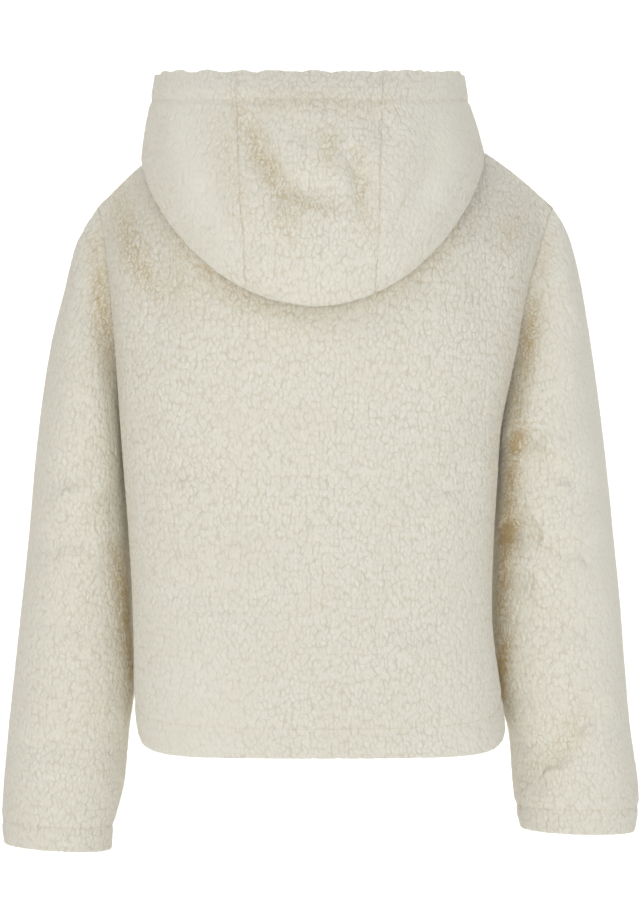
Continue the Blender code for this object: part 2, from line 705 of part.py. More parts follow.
def strip(name, low, high, half_in, half_out, thick, rows):
    """A strip along the zip, from one side distance to another."""
    outer = []
    inner = []
    for level in np.linspace(low, high, rows):
        point, out, _ = zip_frame(level)
        edge = [point + np.array([x, 0, 0]) for x in (half_in, half_out)]
        outer.append([spot + out * thick / 2 for spot in edge])
        inner.append([spot - out * thick / 2 for spot in edge])
    return wall_mesh(name, np.array(outer), np.array(inner))


def prism(name, profile, low, high, level):
    """A profile of (x, height off the tape) pulled along the zip, about `level`."""
    point, out, up = zip_frame(level)
    outer = [point + np.array([x, 0, 0]) + out * h + up * high for x, h in profile]
    inner = [point + np.array([x, 0, 0]) + out * h + up * low for x, h in profile]
    count = len(profile)
    faces = [tuple(range(count)), tuple(reversed(range(count, 2 * count)))]
    for place in range(count):
        follow = (place + 1) % count
        faces.append((follow, place, count + place, count + follow))
    mesh = bpy.data.meshes.new(name)
    mesh.from_pydata([tuple(spot) for spot in outer + inner], [], faces)
    return finish_mesh(name, mesh)


def level_at(distance, start):
    """The row that lies `distance` along the zip from a row."""
    fine = np.linspace(0, BODY_TOP, 721)
    line = body_smooth(180.0 + 0 * fine, fine)
    run = np.concatenate([[0], np.cumsum(np.linalg.norm(np.diff(line, axis=0), axis=1))])
    return float(np.interp(np.interp(start, fine, run) + distance, run, fine))


def bar(x0, x1, h0, h1):
    return ((x0, h0), (x1, h0), (x1, h1), (x0, h1))


def join(base, others):
    """One body from several by an exact Boolean, with the helpers hidden."""
    for other in others:
        cut = base.modifiers.new("join", "BOOLEAN")
        cut.operation = "UNION"
        cut.solver = "EXACT"
        cut.object = other
        other.hide_render = True
        other.display_type = "WIRE"
    return base


def make_zip():
    """Tapes, chain, bottom box, slider and pull tab."""
    low = level_at(ZIP_END, 0)
    high = level_at(-ZIP_END, BODY_TOP)
    box_top = level_at(ZIP_END + BOX_TALL, 0)
    chain_low = level_at(SEAM_GAP, box_top)
    chain_high = level_at(-SLIDER_LONG / 2 - SEAM_GAP, SLIDER_LEVEL)
    chain = CHAIN_HALF
    made = [
        strip("zip_tape_left", low, high, TAPE_IN, TAPE_OUT, TAPE_THICK, ZIP_ROWS),
        strip("zip_tape_right", low, high, -TAPE_OUT, -TAPE_IN, TAPE_THICK, ZIP_ROWS),
        strip("zip_chain", chain_low, chain_high, -chain, chain, CHAIN_THICK, ZIP_ROWS),
        strip("zip_box", low, box_top, -chain, chain, BOX_THICK, 2),
    ]
    web = SLIDER_WEB_HALF
    wide = SLIDER_HALF
    face = PLATE_IN + PLATE_THICK
    profile = (
        (-wide, PLATE_IN), (-wide, face), (wide, face), (wide, PLATE_IN), (web, PLATE_IN),
        (web, -PLATE_IN), (wide, -PLATE_IN), (wide, -face), (-wide, -face),
        (-wide, -PLATE_IN), (-web, -PLATE_IN), (-web, PLATE_IN),
    )
    half = SLIDER_LONG / 2
    slider = prism("zip_slider", profile, -half, half, SLIDER_LEVEL)
    top = face + BRIDGE_ROOM
    reach = BRIDGE_LONG / 2
    outline = bar(-BRIDGE_HALF, BRIDGE_HALF, top, top + BRIDGE_THICK)
    helpers = [prism("bridge_top", outline, -reach, reach, SLIDER_LEVEL)]
    outline = bar(-BRIDGE_HALF, BRIDGE_HALF, face - BRIDGE_SINK, top + BRIDGE_SINK)
    for place, start in enumerate((-reach, reach - BRIDGE_POST)):
        end = start + BRIDGE_POST
        helpers.append(prism(f"bridge_post_{place}", outline, start, end, SLIDER_LEVEL))
    made.append(join(slider, helpers))
    made.append(make_pull_tab(face + BRIDGE_ROOM / 2))
    return made


def make_pull_tab(height):
    """The pull tab: a bar under the bridge, two arms and a flat tab, on its hinge line."""
    point, out, up = zip_frame(SLIDER_LEVEL)
    hinge = bpy.data.objects.new("pull_tab_hinge", None)
    hinge.location = point + out * height
    hinge.empty_display_size = 0.01
    bpy.context.scene.collection.objects.link(hinge)
    half = TAB_BAR / 2
    arm = TAB_HALF - TAB_ARM
    points = []
    for wide, low, high in ((TAB_HALF, -TAB_LONG, half), (arm, -TAB_NECK, -half)):
        for depth in (half, -half):
            for x, along in ((-wide, low), (wide, low), (wide, high), (-wide, high)):
                points.append(tuple(np.array([x, 0, 0]) + up * along + out * depth))
    faces = []
    for a in range(4):
        b = (a + 1) % 4
        faces += [(a, b, 8 + b, 8 + a), (4 + b, 4 + a, 12 + a, 12 + b)]
        faces += [(b, a, 4 + a, 4 + b), (8 + a, 8 + b, 12 + b, 12 + a)]
    mesh = bpy.data.meshes.new("zip_pull_tab")
    mesh.from_pydata(points, [], faces)
    tab = finish_mesh("zip_pull_tab", mesh)
    tab.parent = hinge
    return tab


def material(name, colour, roughness, metallic=0.0):
    made = bpy.data.materials.new(name)
    made.use_nodes = True
    shader = made.node_tree.nodes["Principled BSDF"]
    shader.inputs["Base Color"].default_value = (*colour, 1.0)
    shader.inputs["Roughness"].default_value = roughness
    shader.inputs["Metallic"].default_value = metallic
    made.diffuse_color = (*colour, 1.0)
    return made


def main():
    for old in list(bpy.data.objects):
        bpy.data.objects.remove(old, do_unlink=True)
    sherpa = {
        "back_panel": 1.00, "front_left": 0.98, "front_right": 0.96, "sleeve_left": 0.94,
        "sleeve_right": 0.92, "hood_left": 0.97, "hood_centre": 0.99, "hood_right": 0.95,
    }
    zip_looks = {
        "zip_tape_left": ((0.72, 0.66, 0.55), 0.8, 0.0),
        "zip_tape_right": ((0.70, 0.64, 0.53), 0.8, 0.0),
        "zip_chain": ((0.74, 0.69, 0.58), 0.4, 0.0),
        "zip_box": ((0.60, 0.60, 0.61), 0.35, 1.0),
        "zip_slider": ((0.62, 0.62, 0.63), 0.3, 1.0),
        "zip_pull_tab": ((0.64, 0.64, 0.65), 0.3, 1.0),
    }
    pieces = make_body()
    pieces.append(make_sleeve("sleeve_left", 1))
    pieces.append(make_sleeve("sleeve_right", -1))
    pieces += make_hood()
    pieces += make_zip()
    for piece in pieces:
        if piece.name in sherpa:
            tone = sherpa[piece.name]
            look = ((0.80 * tone, 0.75 * tone, 0.66 * tone), 0.95, 0.0)
        else:
            look = zip_looks[piece.name]
        piece.data.materials.append(material(piece.name, *look))


main()
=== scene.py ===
# A hooded sherpa jacket, zipped up and filled out as worn, with its hood down.
# Metres, +Z up. The front faces -Y and the wearer's left is +X.

import json
import math
from functools import partial

import bmesh
import bpy
import numpy as np
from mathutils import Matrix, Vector
from mathutils.bvhtree import BVHTree

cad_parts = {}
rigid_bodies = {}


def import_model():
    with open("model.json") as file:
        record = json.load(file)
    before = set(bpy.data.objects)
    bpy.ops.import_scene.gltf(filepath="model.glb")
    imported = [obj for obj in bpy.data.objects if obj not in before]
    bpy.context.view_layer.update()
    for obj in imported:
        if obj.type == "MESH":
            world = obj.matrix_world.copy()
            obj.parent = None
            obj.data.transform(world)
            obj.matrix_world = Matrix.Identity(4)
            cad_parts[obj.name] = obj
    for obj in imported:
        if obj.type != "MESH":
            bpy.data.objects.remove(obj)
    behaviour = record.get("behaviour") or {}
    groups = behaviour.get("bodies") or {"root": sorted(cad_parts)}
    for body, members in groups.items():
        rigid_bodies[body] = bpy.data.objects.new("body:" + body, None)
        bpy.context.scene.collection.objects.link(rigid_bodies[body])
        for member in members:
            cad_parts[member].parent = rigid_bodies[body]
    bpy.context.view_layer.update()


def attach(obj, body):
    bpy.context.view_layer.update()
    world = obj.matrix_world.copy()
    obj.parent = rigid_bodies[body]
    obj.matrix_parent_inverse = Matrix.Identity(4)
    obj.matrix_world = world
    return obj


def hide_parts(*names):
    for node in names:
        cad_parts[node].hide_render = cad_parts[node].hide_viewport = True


for old in list(bpy.data.objects):
    bpy.data.objects.remove(old, do_unlink=True)
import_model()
print("frame loaded")

mm = 0.001
slopeStep = {"row": 0.02, "turn": 0.5}

# Polyester sherpa fleece: a knit backing that carries curly pile in clumps
cloth = {
    "wall": 5 * mm,
    "hemWall": 9 * mm,
    "stitchDip": 1.4 * mm,
    "stitchWide": 3.4 * mm,
    "seamDeep": 0.55 * mm,
    "seamWide": 3.2 * mm,
    "seamMost": 1.8 * mm,
    "seamPressed": 0.35,
    # Painted shade and root colour in the seam valleys
    "seamShade": 0.12,
    "neckGap": 0.4 * mm,
    "pileDeep": 1.2 * mm,
    "clumpWide": 3.8 * mm,
    "clumpTall": 6.2 * mm,
    "flatGrid": 29,
}
neck = {"halfWide": 0.080, "sideY": 0.008, "backY": 0.072, "frontY": -0.080, "frontDrop": 0.068}
cut = {
    "sideSeam": 100.0,
    "backOpen": 13.0,
    "frontOpen": 20.0,
    "backRound": 2.35,
    "frontRound": 2.2,
    "neckTurnBack": 40.0,
    "neckTurnFront": 146.0,
    "underarm": 5,
    "bodyTop": 9,
    "yokeStart": 7.3,
    "hemFlatRows": 3.0,
    "hemCorner": 2.8,
    "shoulderBulge": 0.011,
    "shoulderY": 0.010,
    "shoulderFall": 0.032,
}
sleeve = {"round": 2.15, "blend": 3.0, "stitch": 11, "edge": 12}
hood = {
    "seamLeft": 23.0,
    "seamRight": 20.0,
    "front": 172.0,
    "belly": 1.4,
    "clear": 0.0068,
    "soft": 0.006,
    "stitch": 8,
    "rim": 9,
    "rimLumps": 1.1 * mm,
    "rimLeft": 0.1505,
    "rimRight": 0.139,
    "cornerWide": 6 * mm,
    "cornerDeep": 3.5 * mm,
}

# Sections of the garment, from the hem up, from the armhole down and from the neck out
bodySections = {
    "columns": (
        "backZ", "sideZ", "frontZ", "leftX", "rightX", "sideY", "backY", "frontY"
    ),
    "rows": (
        (-0.593, -0.566, -0.585, 0.1675, 0.1785, 0.030, 0.107, -0.107),
        (-0.565, -0.538, -0.557, 0.1710, 0.1750, 0.030, 0.110, -0.110),
        (-0.487, -0.470, -0.485, 0.1720, 0.1660, 0.031, 0.111, -0.114),
        (-0.405, -0.398, -0.407, 0.1755, 0.1670, 0.032, 0.113, -0.119),
        (-0.335, -0.332, -0.340, 0.1805, 0.1710, 0.033, 0.117, -0.124),
        (-0.285, -0.285, -0.292, 0.1840, 0.1745, 0.034, 0.121, -0.128),
        (-0.215, -0.218, -0.225, 0.1885, 0.1880, 0.034, 0.124, -0.129),
        (-0.140, -0.160, -0.165, 0.1940, 0.1990, 0.030, 0.119, -0.122),
        (-0.062, -0.112, -0.112, 0.2000, 0.2130, 0.020, 0.100, -0.103),
        (0.000, -0.078, -0.068, 0.2065, 0.2240, 0.010, 0.072, -0.080),
    ),
}
sleeveLeft = {
    "columns": ("outX", "outZ", "inX", "inZ", "midY", "halfDeep"),
    "rows": (
        (0.2065, -0.078, 0.1835, -0.285, -0.006, 0.052),
        (0.2270, -0.112, 0.1835, -0.290, -0.008, 0.058),
        (0.2390, -0.155, 0.1830, -0.300, -0.011, 0.062),
        (0.2520, -0.205, 0.1820, -0.318, -0.015, 0.065),
        (0.2620, -0.265, 0.1805, -0.345, -0.020, 0.066),
        (0.2690, -0.325, 0.1785, -0.380, -0.024, 0.065),
        (0.2750, -0.390, 0.1760, -0.425, -0.027, 0.062),
        (0.2820, -0.455, 0.1745, -0.475, -0.029, 0.059),
        (0.2885, -0.515, 0.1720, -0.523, -0.029, 0.056),
        (0.2945, -0.572, 0.1785, -0.576, -0.028, 0.053),
        (0.2990, -0.625, 0.1835, -0.628, -0.026, 0.051),
        (0.3010, -0.662, 0.1930, -0.667, -0.025, 0.050),
        (0.2985, -0.685, 0.1950, -0.691, -0.024, 0.048),
    ),
}
sleeveRight = {
    "columns": sleeveLeft["columns"],
    "rows": (
        (0.2240, -0.078, 0.1740, -0.285, -0.006, 0.052),
        (0.2400, -0.106, 0.1740, -0.290, -0.008, 0.058),
        (0.2520, -0.150, 0.1735, -0.300, -0.011, 0.062),
        (0.2617, -0.205, 0.1725, -0.318, -0.015, 0.065),
        (0.2705, -0.265, 0.1710, -0.345, -0.020, 0.066),
        (0.2780, -0.325, 0.1695, -0.380, -0.024, 0.065),
        (0.2848, -0.390, 0.1680, -0.425, -0.027, 0.062),
        (0.2915, -0.455, 0.1670, -0.475, -0.029, 0.059),
        (0.2960, -0.515, 0.1690, -0.523, -0.029, 0.057),
        (0.3010, -0.572, 0.1835, -0.576, -0.028, 0.054),
        (0.3080, -0.622, 0.1875, -0.622, -0.026, 0.052),
        (0.3090, -0.649, 0.1905, -0.648, -0.025, 0.051),
        (0.3050, -0.674, 0.1955, -0.671, -0.024, 0.048),
    ),
}
hoodLines = {
    "columns": (
        "backY", "backZ", "leftX", "rightX", "sideY", "sideZ",
        "frontX", "frontY", "frontZ", "round",
    ),
    "rows": (
        (0.072, 0.000, 0.080, 0.080, 0.008, 0.000, 0.000, -0.080, -0.068, 2.0),
        (0.082, 0.020, 0.087, 0.087, 0.012, 0.018, 0.000, -0.085, -0.053, 2.0),
        (0.103, 0.008, 0.103, 0.101, 0.018, 0.015, 0.000, -0.092, -0.050, 2.0),
        (0.124, -0.070, 0.133, 0.130, 0.028, -0.004, 0.000, -0.098, -0.054, 2.0),
        (0.138, -0.150, 0.156, 0.152, 0.036, -0.028, 0.000, -0.103, -0.060, 2.0),
        (0.156, -0.180, 0.163, 0.157, 0.044, -0.038, 0.000, -0.107, -0.058, 2.0),
        (0.172, -0.137, 0.1625, 0.1560, 0.048, -0.026, 0.000, -0.109, -0.050, 2.1),
        (0.168, -0.060, 0.1590, 0.1500, 0.051, -0.004, 0.000, -0.109, -0.043, 2.3),
        (0.146, 0.008, 0.1545, 0.1430, 0.053, 0.016, 0.000, -0.106, -0.034, 2.5),
        (0.128, 0.038, 0.1505, 0.1390, 0.054, 0.043, 0.000, -0.098, -0.020, 2.6),
    ),
}


# Creases: (path in X and Z, depth, half width, how far its lip stands up)
creases = {
    "hood": (
        (((0.066, 0.004), (0.050, -0.040), (0.030, -0.072), (-0.012, -0.080)), 0.010, 0.016, 0.0),
        (((-0.030, -0.034), (-0.044, -0.060), (-0.044, -0.094)), 0.006, 0.012, 0.0),
        (((-0.055, 0.004), (-0.060, -0.030)), 0.004, 0.012, 0.0),
        (((0.120, 0.000), (0.100, -0.050), (0.090, -0.090)), 0.004, 0.018, 0.0),
        (((-0.110, 0.000), (-0.104, -0.050), (-0.085, -0.095)), 0.004, 0.018, 0.0),
        (((0.060, -0.010), (0.046, -0.046), (0.026, -0.070)), 0.0035, 0.007, 0.4),
        (((-0.026, -0.040), (-0.038, -0.064), (-0.038, -0.092)), 0.0030, 0.007, 0.5),
        (((0.104, -0.084), (0.070, -0.118), (0.030, -0.128)), 0.0030, 0.012, 0.4),
        (((-0.070, -0.110), (-0.100, -0.080), (-0.118, -0.040)), 0.0028, 0.012, 0.4),
        (((0.016, -0.012), (0.004, -0.034)), 0.0030, 0.012, 0.3),
    ),
    "back": (
        (((0.160, -0.085), (0.150, -0.140), (0.140, -0.200)), 0.006, 0.022, 0.0),
        (((-0.175, -0.090), (-0.165, -0.140), (-0.150, -0.200)), 0.005, 0.022, 0.0),
        (((0.110, -0.300), (0.060, -0.380), (0.050, -0.470)), 0.003, 0.035, 0.0),
        (((-0.120, -0.280), (-0.080, -0.360), (-0.070, -0.440)), 0.003, 0.035, 0.0),
        (((0.168, -0.280), (0.140, -0.318), (0.098, -0.336)), 0.0030, 0.014, 0.5),
        (((-0.162, -0.286), (-0.132, -0.330), (-0.090, -0.352)), 0.0030, 0.014, 0.5),
        (((0.150, -0.400), (0.110, -0.440), (0.060, -0.452)), 0.0022, 0.018, 0.4),
        (((-0.150, -0.430), (-0.108, -0.468), (-0.070, -0.470)), 0.0022, 0.018, 0.4),
        (((0.030, -0.250), (0.020, -0.330), (0.034, -0.400)), 0.0022, 0.026, 0.3),
    ),
    "front": (
        (((0.150, -0.130), (0.110, -0.200), (0.095, -0.260)), 0.005, 0.024, 0.0),
        (((-0.150, -0.125), (-0.115, -0.190), (-0.090, -0.270)), 0.005, 0.022, 0.0),
        (((0.110, -0.360), (0.080, -0.430), (0.075, -0.500)), 0.004, 0.028, 0.0),
        (((-0.100, -0.330), (-0.085, -0.420), (-0.070, -0.480)), 0.004, 0.030, 0.0),
        (((0.160, -0.270), (0.122, -0.312), (0.070, -0.326)), 0.0034, 0.014, 0.5),
        (((-0.158, -0.262), (-0.118, -0.300), (-0.062, -0.330)), 0.0034, 0.014, 0.5),
        (((0.146, -0.420), (0.100, -0.462), (0.048, -0.470)), 0.0026, 0.016, 0.4),
        (((-0.148, -0.404), (-0.104, -0.452), (-0.050, -0.476)), 0.0026, 0.016, 0.4),
        (((0.060, -0.100), (0.050, -0.160), (0.030, -0.200)), 0.0030, 0.018, 0.4),
        (((-0.062, -0.104), (-0.046, -0.158), (-0.034, -0.210)), 0.0030, 0.018, 0.4),
    ),
    "sleeveBack": (
        (((0.196, -0.300), (0.222, -0.330), (0.252, -0.340)), 0.0040, 0.013, 0.5),
        (((0.194, -0.360), (0.226, -0.392), (0.262, -0.398)), 0.0034, 0.013, 0.5),
        (((0.196, -0.440), (0.224, -0.470), (0.250, -0.474)), 0.0026, 0.013, 0.4),
        (((0.200, -0.560), (0.232, -0.590), (0.276, -0.586)), 0.0026, 0.012, 0.4),
        (((0.214, -0.150), (0.226, -0.210), (0.222, -0.270)), 0.0030, 0.018, 0.3),
        (((-0.186, -0.296), (-0.212, -0.326), (-0.246, -0.336)), 0.0040, 0.013, 0.5),
        (((-0.188, -0.372), (-0.220, -0.400), (-0.262, -0.402)), 0.0034, 0.014, 0.5),
        (((-0.190, -0.452), (-0.220, -0.478), (-0.262, -0.470)), 0.0028, 0.013, 0.4),
        (((-0.256, -0.552), (-0.232, -0.588), (-0.212, -0.612)), 0.0044, 0.013, 0.6),
        (((-0.214, -0.150), (-0.226, -0.205), (-0.220, -0.262)), 0.0030, 0.018, 0.3),
        (((-0.178, -0.298), (-0.196, -0.303), (-0.214, -0.300)), 0.0060, 0.011, 0.4),
        (((-0.172, -0.386), (-0.190, -0.392), (-0.210, -0.388)), 0.0070, 0.012, 0.4),
        (((-0.170, -0.430), (-0.188, -0.434), (-0.204, -0.430)), 0.0035, 0.010, 0.4),
    ),
    "sleeveFront": (
        (((0.196, -0.290), (0.226, -0.322), (0.256, -0.326)), 0.0042, 0.018, 0.25),
        (((0.194, -0.356), (0.222, -0.380), (0.262, -0.380)), 0.0040, 0.017, 0.25),
        (((0.192, -0.420), (0.226, -0.436), (0.266, -0.428)), 0.0034, 0.017, 0.25),
        (((0.200, -0.560), (0.230, -0.586), (0.280, -0.584)), 0.0028, 0.015, 0.25),
        (((-0.186, -0.292), (-0.216, -0.318), (-0.250, -0.322)), 0.0042, 0.018, 0.25),
        (((-0.184, -0.350), (-0.220, -0.378), (-0.266, -0.374)), 0.0040, 0.017, 0.25),
        (((-0.188, -0.424), (-0.220, -0.440), (-0.268, -0.430)), 0.0034, 0.017, 0.25),
        (((-0.200, -0.570), (-0.236, -0.592), (-0.284, -0.588)), 0.0028, 0.015, 0.25),
    ),
}

# Painted warm shade in folds, under the hood's edge and between sleeve and body, partly where the
# pile lies crushed and its warm roots show: (path in X and Z, strength, half width)
rootsAndShadePaths = {
    "hood": (
        (
            ((0.072, 0.002), (0.050, -0.045), (0.030, -0.078), (0.012, -0.088), (-0.014, -0.092)),
            0.80, 0.011,
        ),
        (((0.082, -0.005), (0.078, -0.050), (0.066, -0.100)), 0.30, 0.012),
        (((-0.012, -0.020), (-0.012, -0.052)), 0.6, 0.009),
        (((-0.036, -0.040), (-0.040, -0.070), (-0.044, -0.112)), 0.5, 0.009),
        (((0.070, 0.004), (0.000, 0.006), (-0.070, 0.002)), 0.35, 0.010),
        (((0.034, -0.085), (0.022, -0.116)), 0.5, 0.014),
    ),
    "back": (
        (((0.184, -0.070), (0.178, -0.100), (0.170, -0.128), (0.147, -0.165)), 0.9, 0.014),
        (((0.140, -0.130), (0.120, -0.170)), 0.35, 0.022),
        (((-0.190, -0.085), (-0.176, -0.120)), 0.45, 0.014),
        (((0.190, -0.130), (0.188, -0.230), (0.180, -0.350), (0.172, -0.480)), 0.30, 0.008),
        (((-0.196, -0.130), (-0.182, -0.210), (-0.166, -0.330), (-0.166, -0.480)), 0.30, 0.008),
        (((0.150, -0.075), (0.120, -0.130), (0.070, -0.168), (0.000, -0.184)), 0.55, 0.013),
        (((-0.152, -0.070), (-0.124, -0.118), (-0.070, -0.158), (0.000, -0.184)), 0.45, 0.013),
    ),
    "sleeveBack": (
        (((0.208, -0.112), (0.204, -0.150), (0.200, -0.190), (0.194, -0.235)), 0.85, 0.009),
        (((0.187, -0.400), (0.178, -0.460), (0.171, -0.520), (0.165, -0.590)), 1.5, 0.010),
        (((-0.218, -0.110), (-0.212, -0.145)), 0.45, 0.008),
        (((-0.206, -0.165), (-0.199, -0.205), (-0.194, -0.245)), 1.1, 0.009),
        (((-0.190, -0.240), (-0.184, -0.330), (-0.177, -0.430), (-0.170, -0.540)), 1.2, 0.009),
        (((-0.193, -0.284), (-0.188, -0.302), (-0.184, -0.318)), 1.5, 0.009),
        (((-0.184, -0.368), (-0.180, -0.390), (-0.180, -0.408)), 1.8, 0.011),
        (((-0.180, -0.480), (-0.174, -0.520), (-0.176, -0.570)), 1.7, 0.008),
        (((-0.250, -0.556), (-0.232, -0.588), (-0.214, -0.606)), 0.4, 0.012),
    ),
}

# Where the pile was brushed smooth, so its clumps hardly show: (path, strength, half width)
brushed = {
    "hood": (
        (((0.128, 0.060), (0.122, -0.040), (0.085, -0.130)), 0.8, 0.034),
        (((-0.128, 0.060), (-0.118, -0.040), (-0.080, -0.130)), 0.8, 0.034),
    ),
    "back": (
        (((0.130, -0.480), (0.110, -0.660)), 0.5, 0.060),
        (((-0.160, -0.420), (-0.140, -0.660)), 0.4, 0.040),
    ),
    "front": (
        (((0.120, -0.300), (0.110, -0.560)), 0.45, 0.050),
        (((-0.120, -0.280), (-0.110, -0.560)), 0.45, 0.050),
    ),
    "sleeve": (
        (((0.250, -0.120), (0.278, -0.330), (0.296, -0.620)), 0.5, 0.028),
        (((-0.238, -0.100), (-0.272, -0.330), (-0.292, -0.620)), 0.75, 0.034),
    ),
}
def read(table, name, at):
    # The smooth value of one column at row numbers `at`.
    place = table["columns"].index(name)
    values = np.array([row[place] for row in table["rows"]])
    last = len(values) - 1
    at = np.clip(np.asarray(at, float), 0, last)
    low = np.minimum(at.astype(int), last - 1)
    part = at - low
    before = values[np.maximum(low - 1, 0)]
    start = values[low]
    end = values[low + 1]
    after = values[np.minimum(low + 2, last)]
    bend = 3 * (start - end) + after - before
    slope = 2 * before - 5 * start + 4 * end - after
    return start + 0.5 * part * (end - before + part * (slope + part * bend))


def ease(value):
    # A smooth step from 0 to 1.
    value = np.clip(value, 0, 1)
    return value * value * (3 - 2 * value)


def unit(vectors):
    return vectors / np.maximum(np.linalg.norm(vectors, axis=-1, keepdims=True), 1e-12)


def power(value, exponent):
    # A power that keeps the sign.
    return np.sign(value) * np.abs(value) ** exponent


def waver(x, z, scale, seed):
    # A soft uneven value near -1 to 1, from a few crossed waves.
    total = np.zeros(np.shape(x))
    for place in range(4):
        angle = seed * 1.7 + place * 2.4
        pace = 2 * np.pi / scale * (0.7 + 0.23 * place)
        total = total + np.sin(pace * (x * np.cos(angle) + z * np.sin(angle)) + seed + 1.9 * place)
    return total / 2.6


def pathSpans(x, z, path):
    # For each span of a path in X and Z: (share of the path passed, distance, on its left).
    spots = np.array(path)
    runs = np.linalg.norm(np.diff(spots, axis=0), axis=1)
    done = 0.0
    for start, end, run in zip(spots[:-1], spots[1:], runs):
        way = (end - start) / run
        along = np.clip((x - start[0]) * way[0] + (z - start[1]) * way[1], 0, run)
        away = np.hypot(x - start[0] - along * way[0], z - start[1] - along * way[1])
        over = (x - start[0]) * way[1] - (z - start[1]) * way[0] > 0
        yield (done + along) / runs.sum(), away, over
        done += run


def nearPath(x, z, path, halfWide):
    # 1 on a path in X and Z, falling softly to 0 beside it and at its ends.
    best = np.zeros(np.shape(x))
    for share, away, _ in pathSpans(x, z, path):
        middle = np.sin(np.pi * np.clip(0.15 + 0.7 * share, 0, 1))
        best = np.maximum(best, middle * np.exp(-((away / halfWide) ** 2)))
    return best


def foldDepth(x, z, name):
    # How far the creases of one group press the cloth in at (x, z).
    total = np.zeros(np.shape(x))
    for path, depth, halfWide, lip in creases[name]:
        pressed = np.zeros(np.shape(x))
        for share, away, over in pathSpans(x, z, path):
            middle = np.sin(np.pi * np.clip(0.12 + 0.76 * share, 0, 1))
            shape = np.exp(-((away / halfWide) ** 2))
            shape = shape - np.where(over, lip, 0.0) * np.exp(-((away / halfWide - 1.9) ** 2) * 1.6)
            shape = shape * middle * depth
            pressed = np.where(np.abs(shape) > np.abs(pressed), shape, pressed)
        if lip > 0:
            pressed = pressed * (1 + 0.3 * waver(x, z, 0.05, path[0][0] * 40))
        total = total + pressed
    return total


def neckline(turn):
    # The neck seam, with `turn` in degrees from the centre back.
    angle = np.radians(np.abs(turn))
    across = np.sin(angle)
    ahead = np.abs(np.cos(angle))
    back = np.abs(turn) <= 90
    x = np.sign(turn) * neck["halfWide"] * across
    reach = np.where(back, neck["backY"], neck["frontY"]) - neck["sideY"]
    z = np.where(back, 0.0, -neck["frontDrop"]) * ahead**1.2
    return np.stack([x, neck["sideY"] + reach * ahead, z], axis=-1)


def shoulder(side, part):
    # The shoulder seam, from the neck (part 0) to the sleeve (part 1).
    endX = read(bodySections, "leftX" if side > 0 else "rightX", cut["bodyTop"])
    endZ = read(bodySections, "sideZ", cut["bodyTop"])
    x = neck["halfWide"] + (endX - neck["halfWide"]) * part
    z = endZ * np.maximum(part, 0) ** 1.25 + cut["shoulderBulge"] * np.sin(np.pi * part)
    y = neck["sideY"] + (cut["shoulderY"] - neck["sideY"]) * part
    return np.stack([side * x, y + 0 * part, z], axis=-1)


def armholePart(level):
    low, high = cut["underarm"], cut["bodyTop"]
    return np.clip((np.asarray(level, float) - low) / (high - low), 0, 1)


def backEdge(level):
    # Where the back ends, in degrees: the side seam and then the armhole.
    return cut["sideSeam"] - cut["backOpen"] * np.sqrt(armholePart(level))


def frontEdge(level):
    return cut["sideSeam"] + cut["frontOpen"] * np.sqrt(armholePart(level))


def yokePoint(turn):
    # The neck and shoulder seams, reached by a turn round the body.
    size = np.abs(turn)
    side = np.where(turn < 0, -1.0, 1.0)
    back = size <= cut["sideSeam"]
    corner = np.where(back, cut["neckTurnBack"], cut["neckTurnFront"])
    edge = np.where(back, backEdge(cut["bodyTop"]), frontEdge(cut["bodyTop"]))
    inside = np.where(back, size < corner, size > corner)
    neckPart = np.where(back, size / corner, (180 - size) / (180 - corner))
    neckTurn = np.where(back, 90 * neckPart, 180 - 90 * neckPart)
    onNeck = neckline(side * np.clip(neckTurn, 0, 180))
    out = np.clip((size - corner) / (edge - corner), 0, 1)
    left = shoulder(1, out)
    right = shoulder(-1, out)
    onShoulder = np.where((side > 0)[..., None], left, right)
    return np.where(inside[..., None], onNeck, onShoulder)


def bodySmooth(turn, level):
    # The body's outer face with no folds.
    turn = np.asarray(turn, float)
    level = np.asarray(level, float)
    turn, level = np.broadcast_arrays(turn, level)
    angle = np.radians(np.abs(turn))
    back = np.abs(turn) <= 90
    leftX, rightX = read(bodySections, "leftX", level), read(bodySections, "rightX", level)
    half = np.where(turn >= 0, leftX, rightX)
    bow = 2 / np.where(back, cut["backRound"], cut["frontRound"])
    ahead = np.abs(np.cos(angle)) ** bow
    sideY = read(bodySections, "sideY", level)
    sideZ = read(bodySections, "sideZ", level)
    endY = np.where(back, read(bodySections, "backY", level), read(bodySections, "frontY", level))
    endZ = np.where(back, read(bodySections, "backZ", level), read(bodySections, "frontZ", level))
    x = np.sign(turn) * half * np.abs(np.sin(angle)) ** bow
    y = sideY + (endY - sideY) * ahead
    low = ease(1 - level / cut["hemFlatRows"])
    rise = low * (1 - (1 - ahead) ** cut["hemCorner"]) + (1 - low) * ahead**1.4
    z = sideZ + (endZ - sideZ) * rise
    section = np.stack([x, y, z], axis=-1)
    share = ease((level - cut["yokeStart"]) / (cut["bodyTop"] - cut["yokeStart"]))[..., None]
    return section * (1 - share) + yokePoint(turn) * share


def slopes(surface, around, along, roundStep, alongStep):
    # The outward normals of a surface, from its slopes.
    across = surface(around + roundStep, along) - surface(around - roundStep, along)
    up = surface(around, along + alongStep) - surface(around, along - alongStep)
    return unit(np.cross(across, up))


def bodyNormal(turn, level):
    level = np.clip(level, slopeStep["row"], cut["bodyTop"] - slopeStep["row"])
    return -slopes(bodySmooth, turn, level, slopeStep["turn"], slopeStep["row"])


def folds(point, normal, behind, ahead):
    # How far the creases behind and in front press in, each on the faces that look its way.
    total = 0.0
    for name, way in ((behind, 1), (ahead, -1)):
        if name:
            seen = ease((way * normal[..., 1] - 0.1) / 0.4)
            total = total + seen * foldDepth(point[..., 0], point[..., 2], name)
    return total


def bodyPoint(turn, level):
    # The body's outer face, with its large folds.
    point = bodySmooth(turn, level)
    normal = bodyNormal(turn, level)
    return point - normal * folds(point, normal, "back", "front")[..., None]


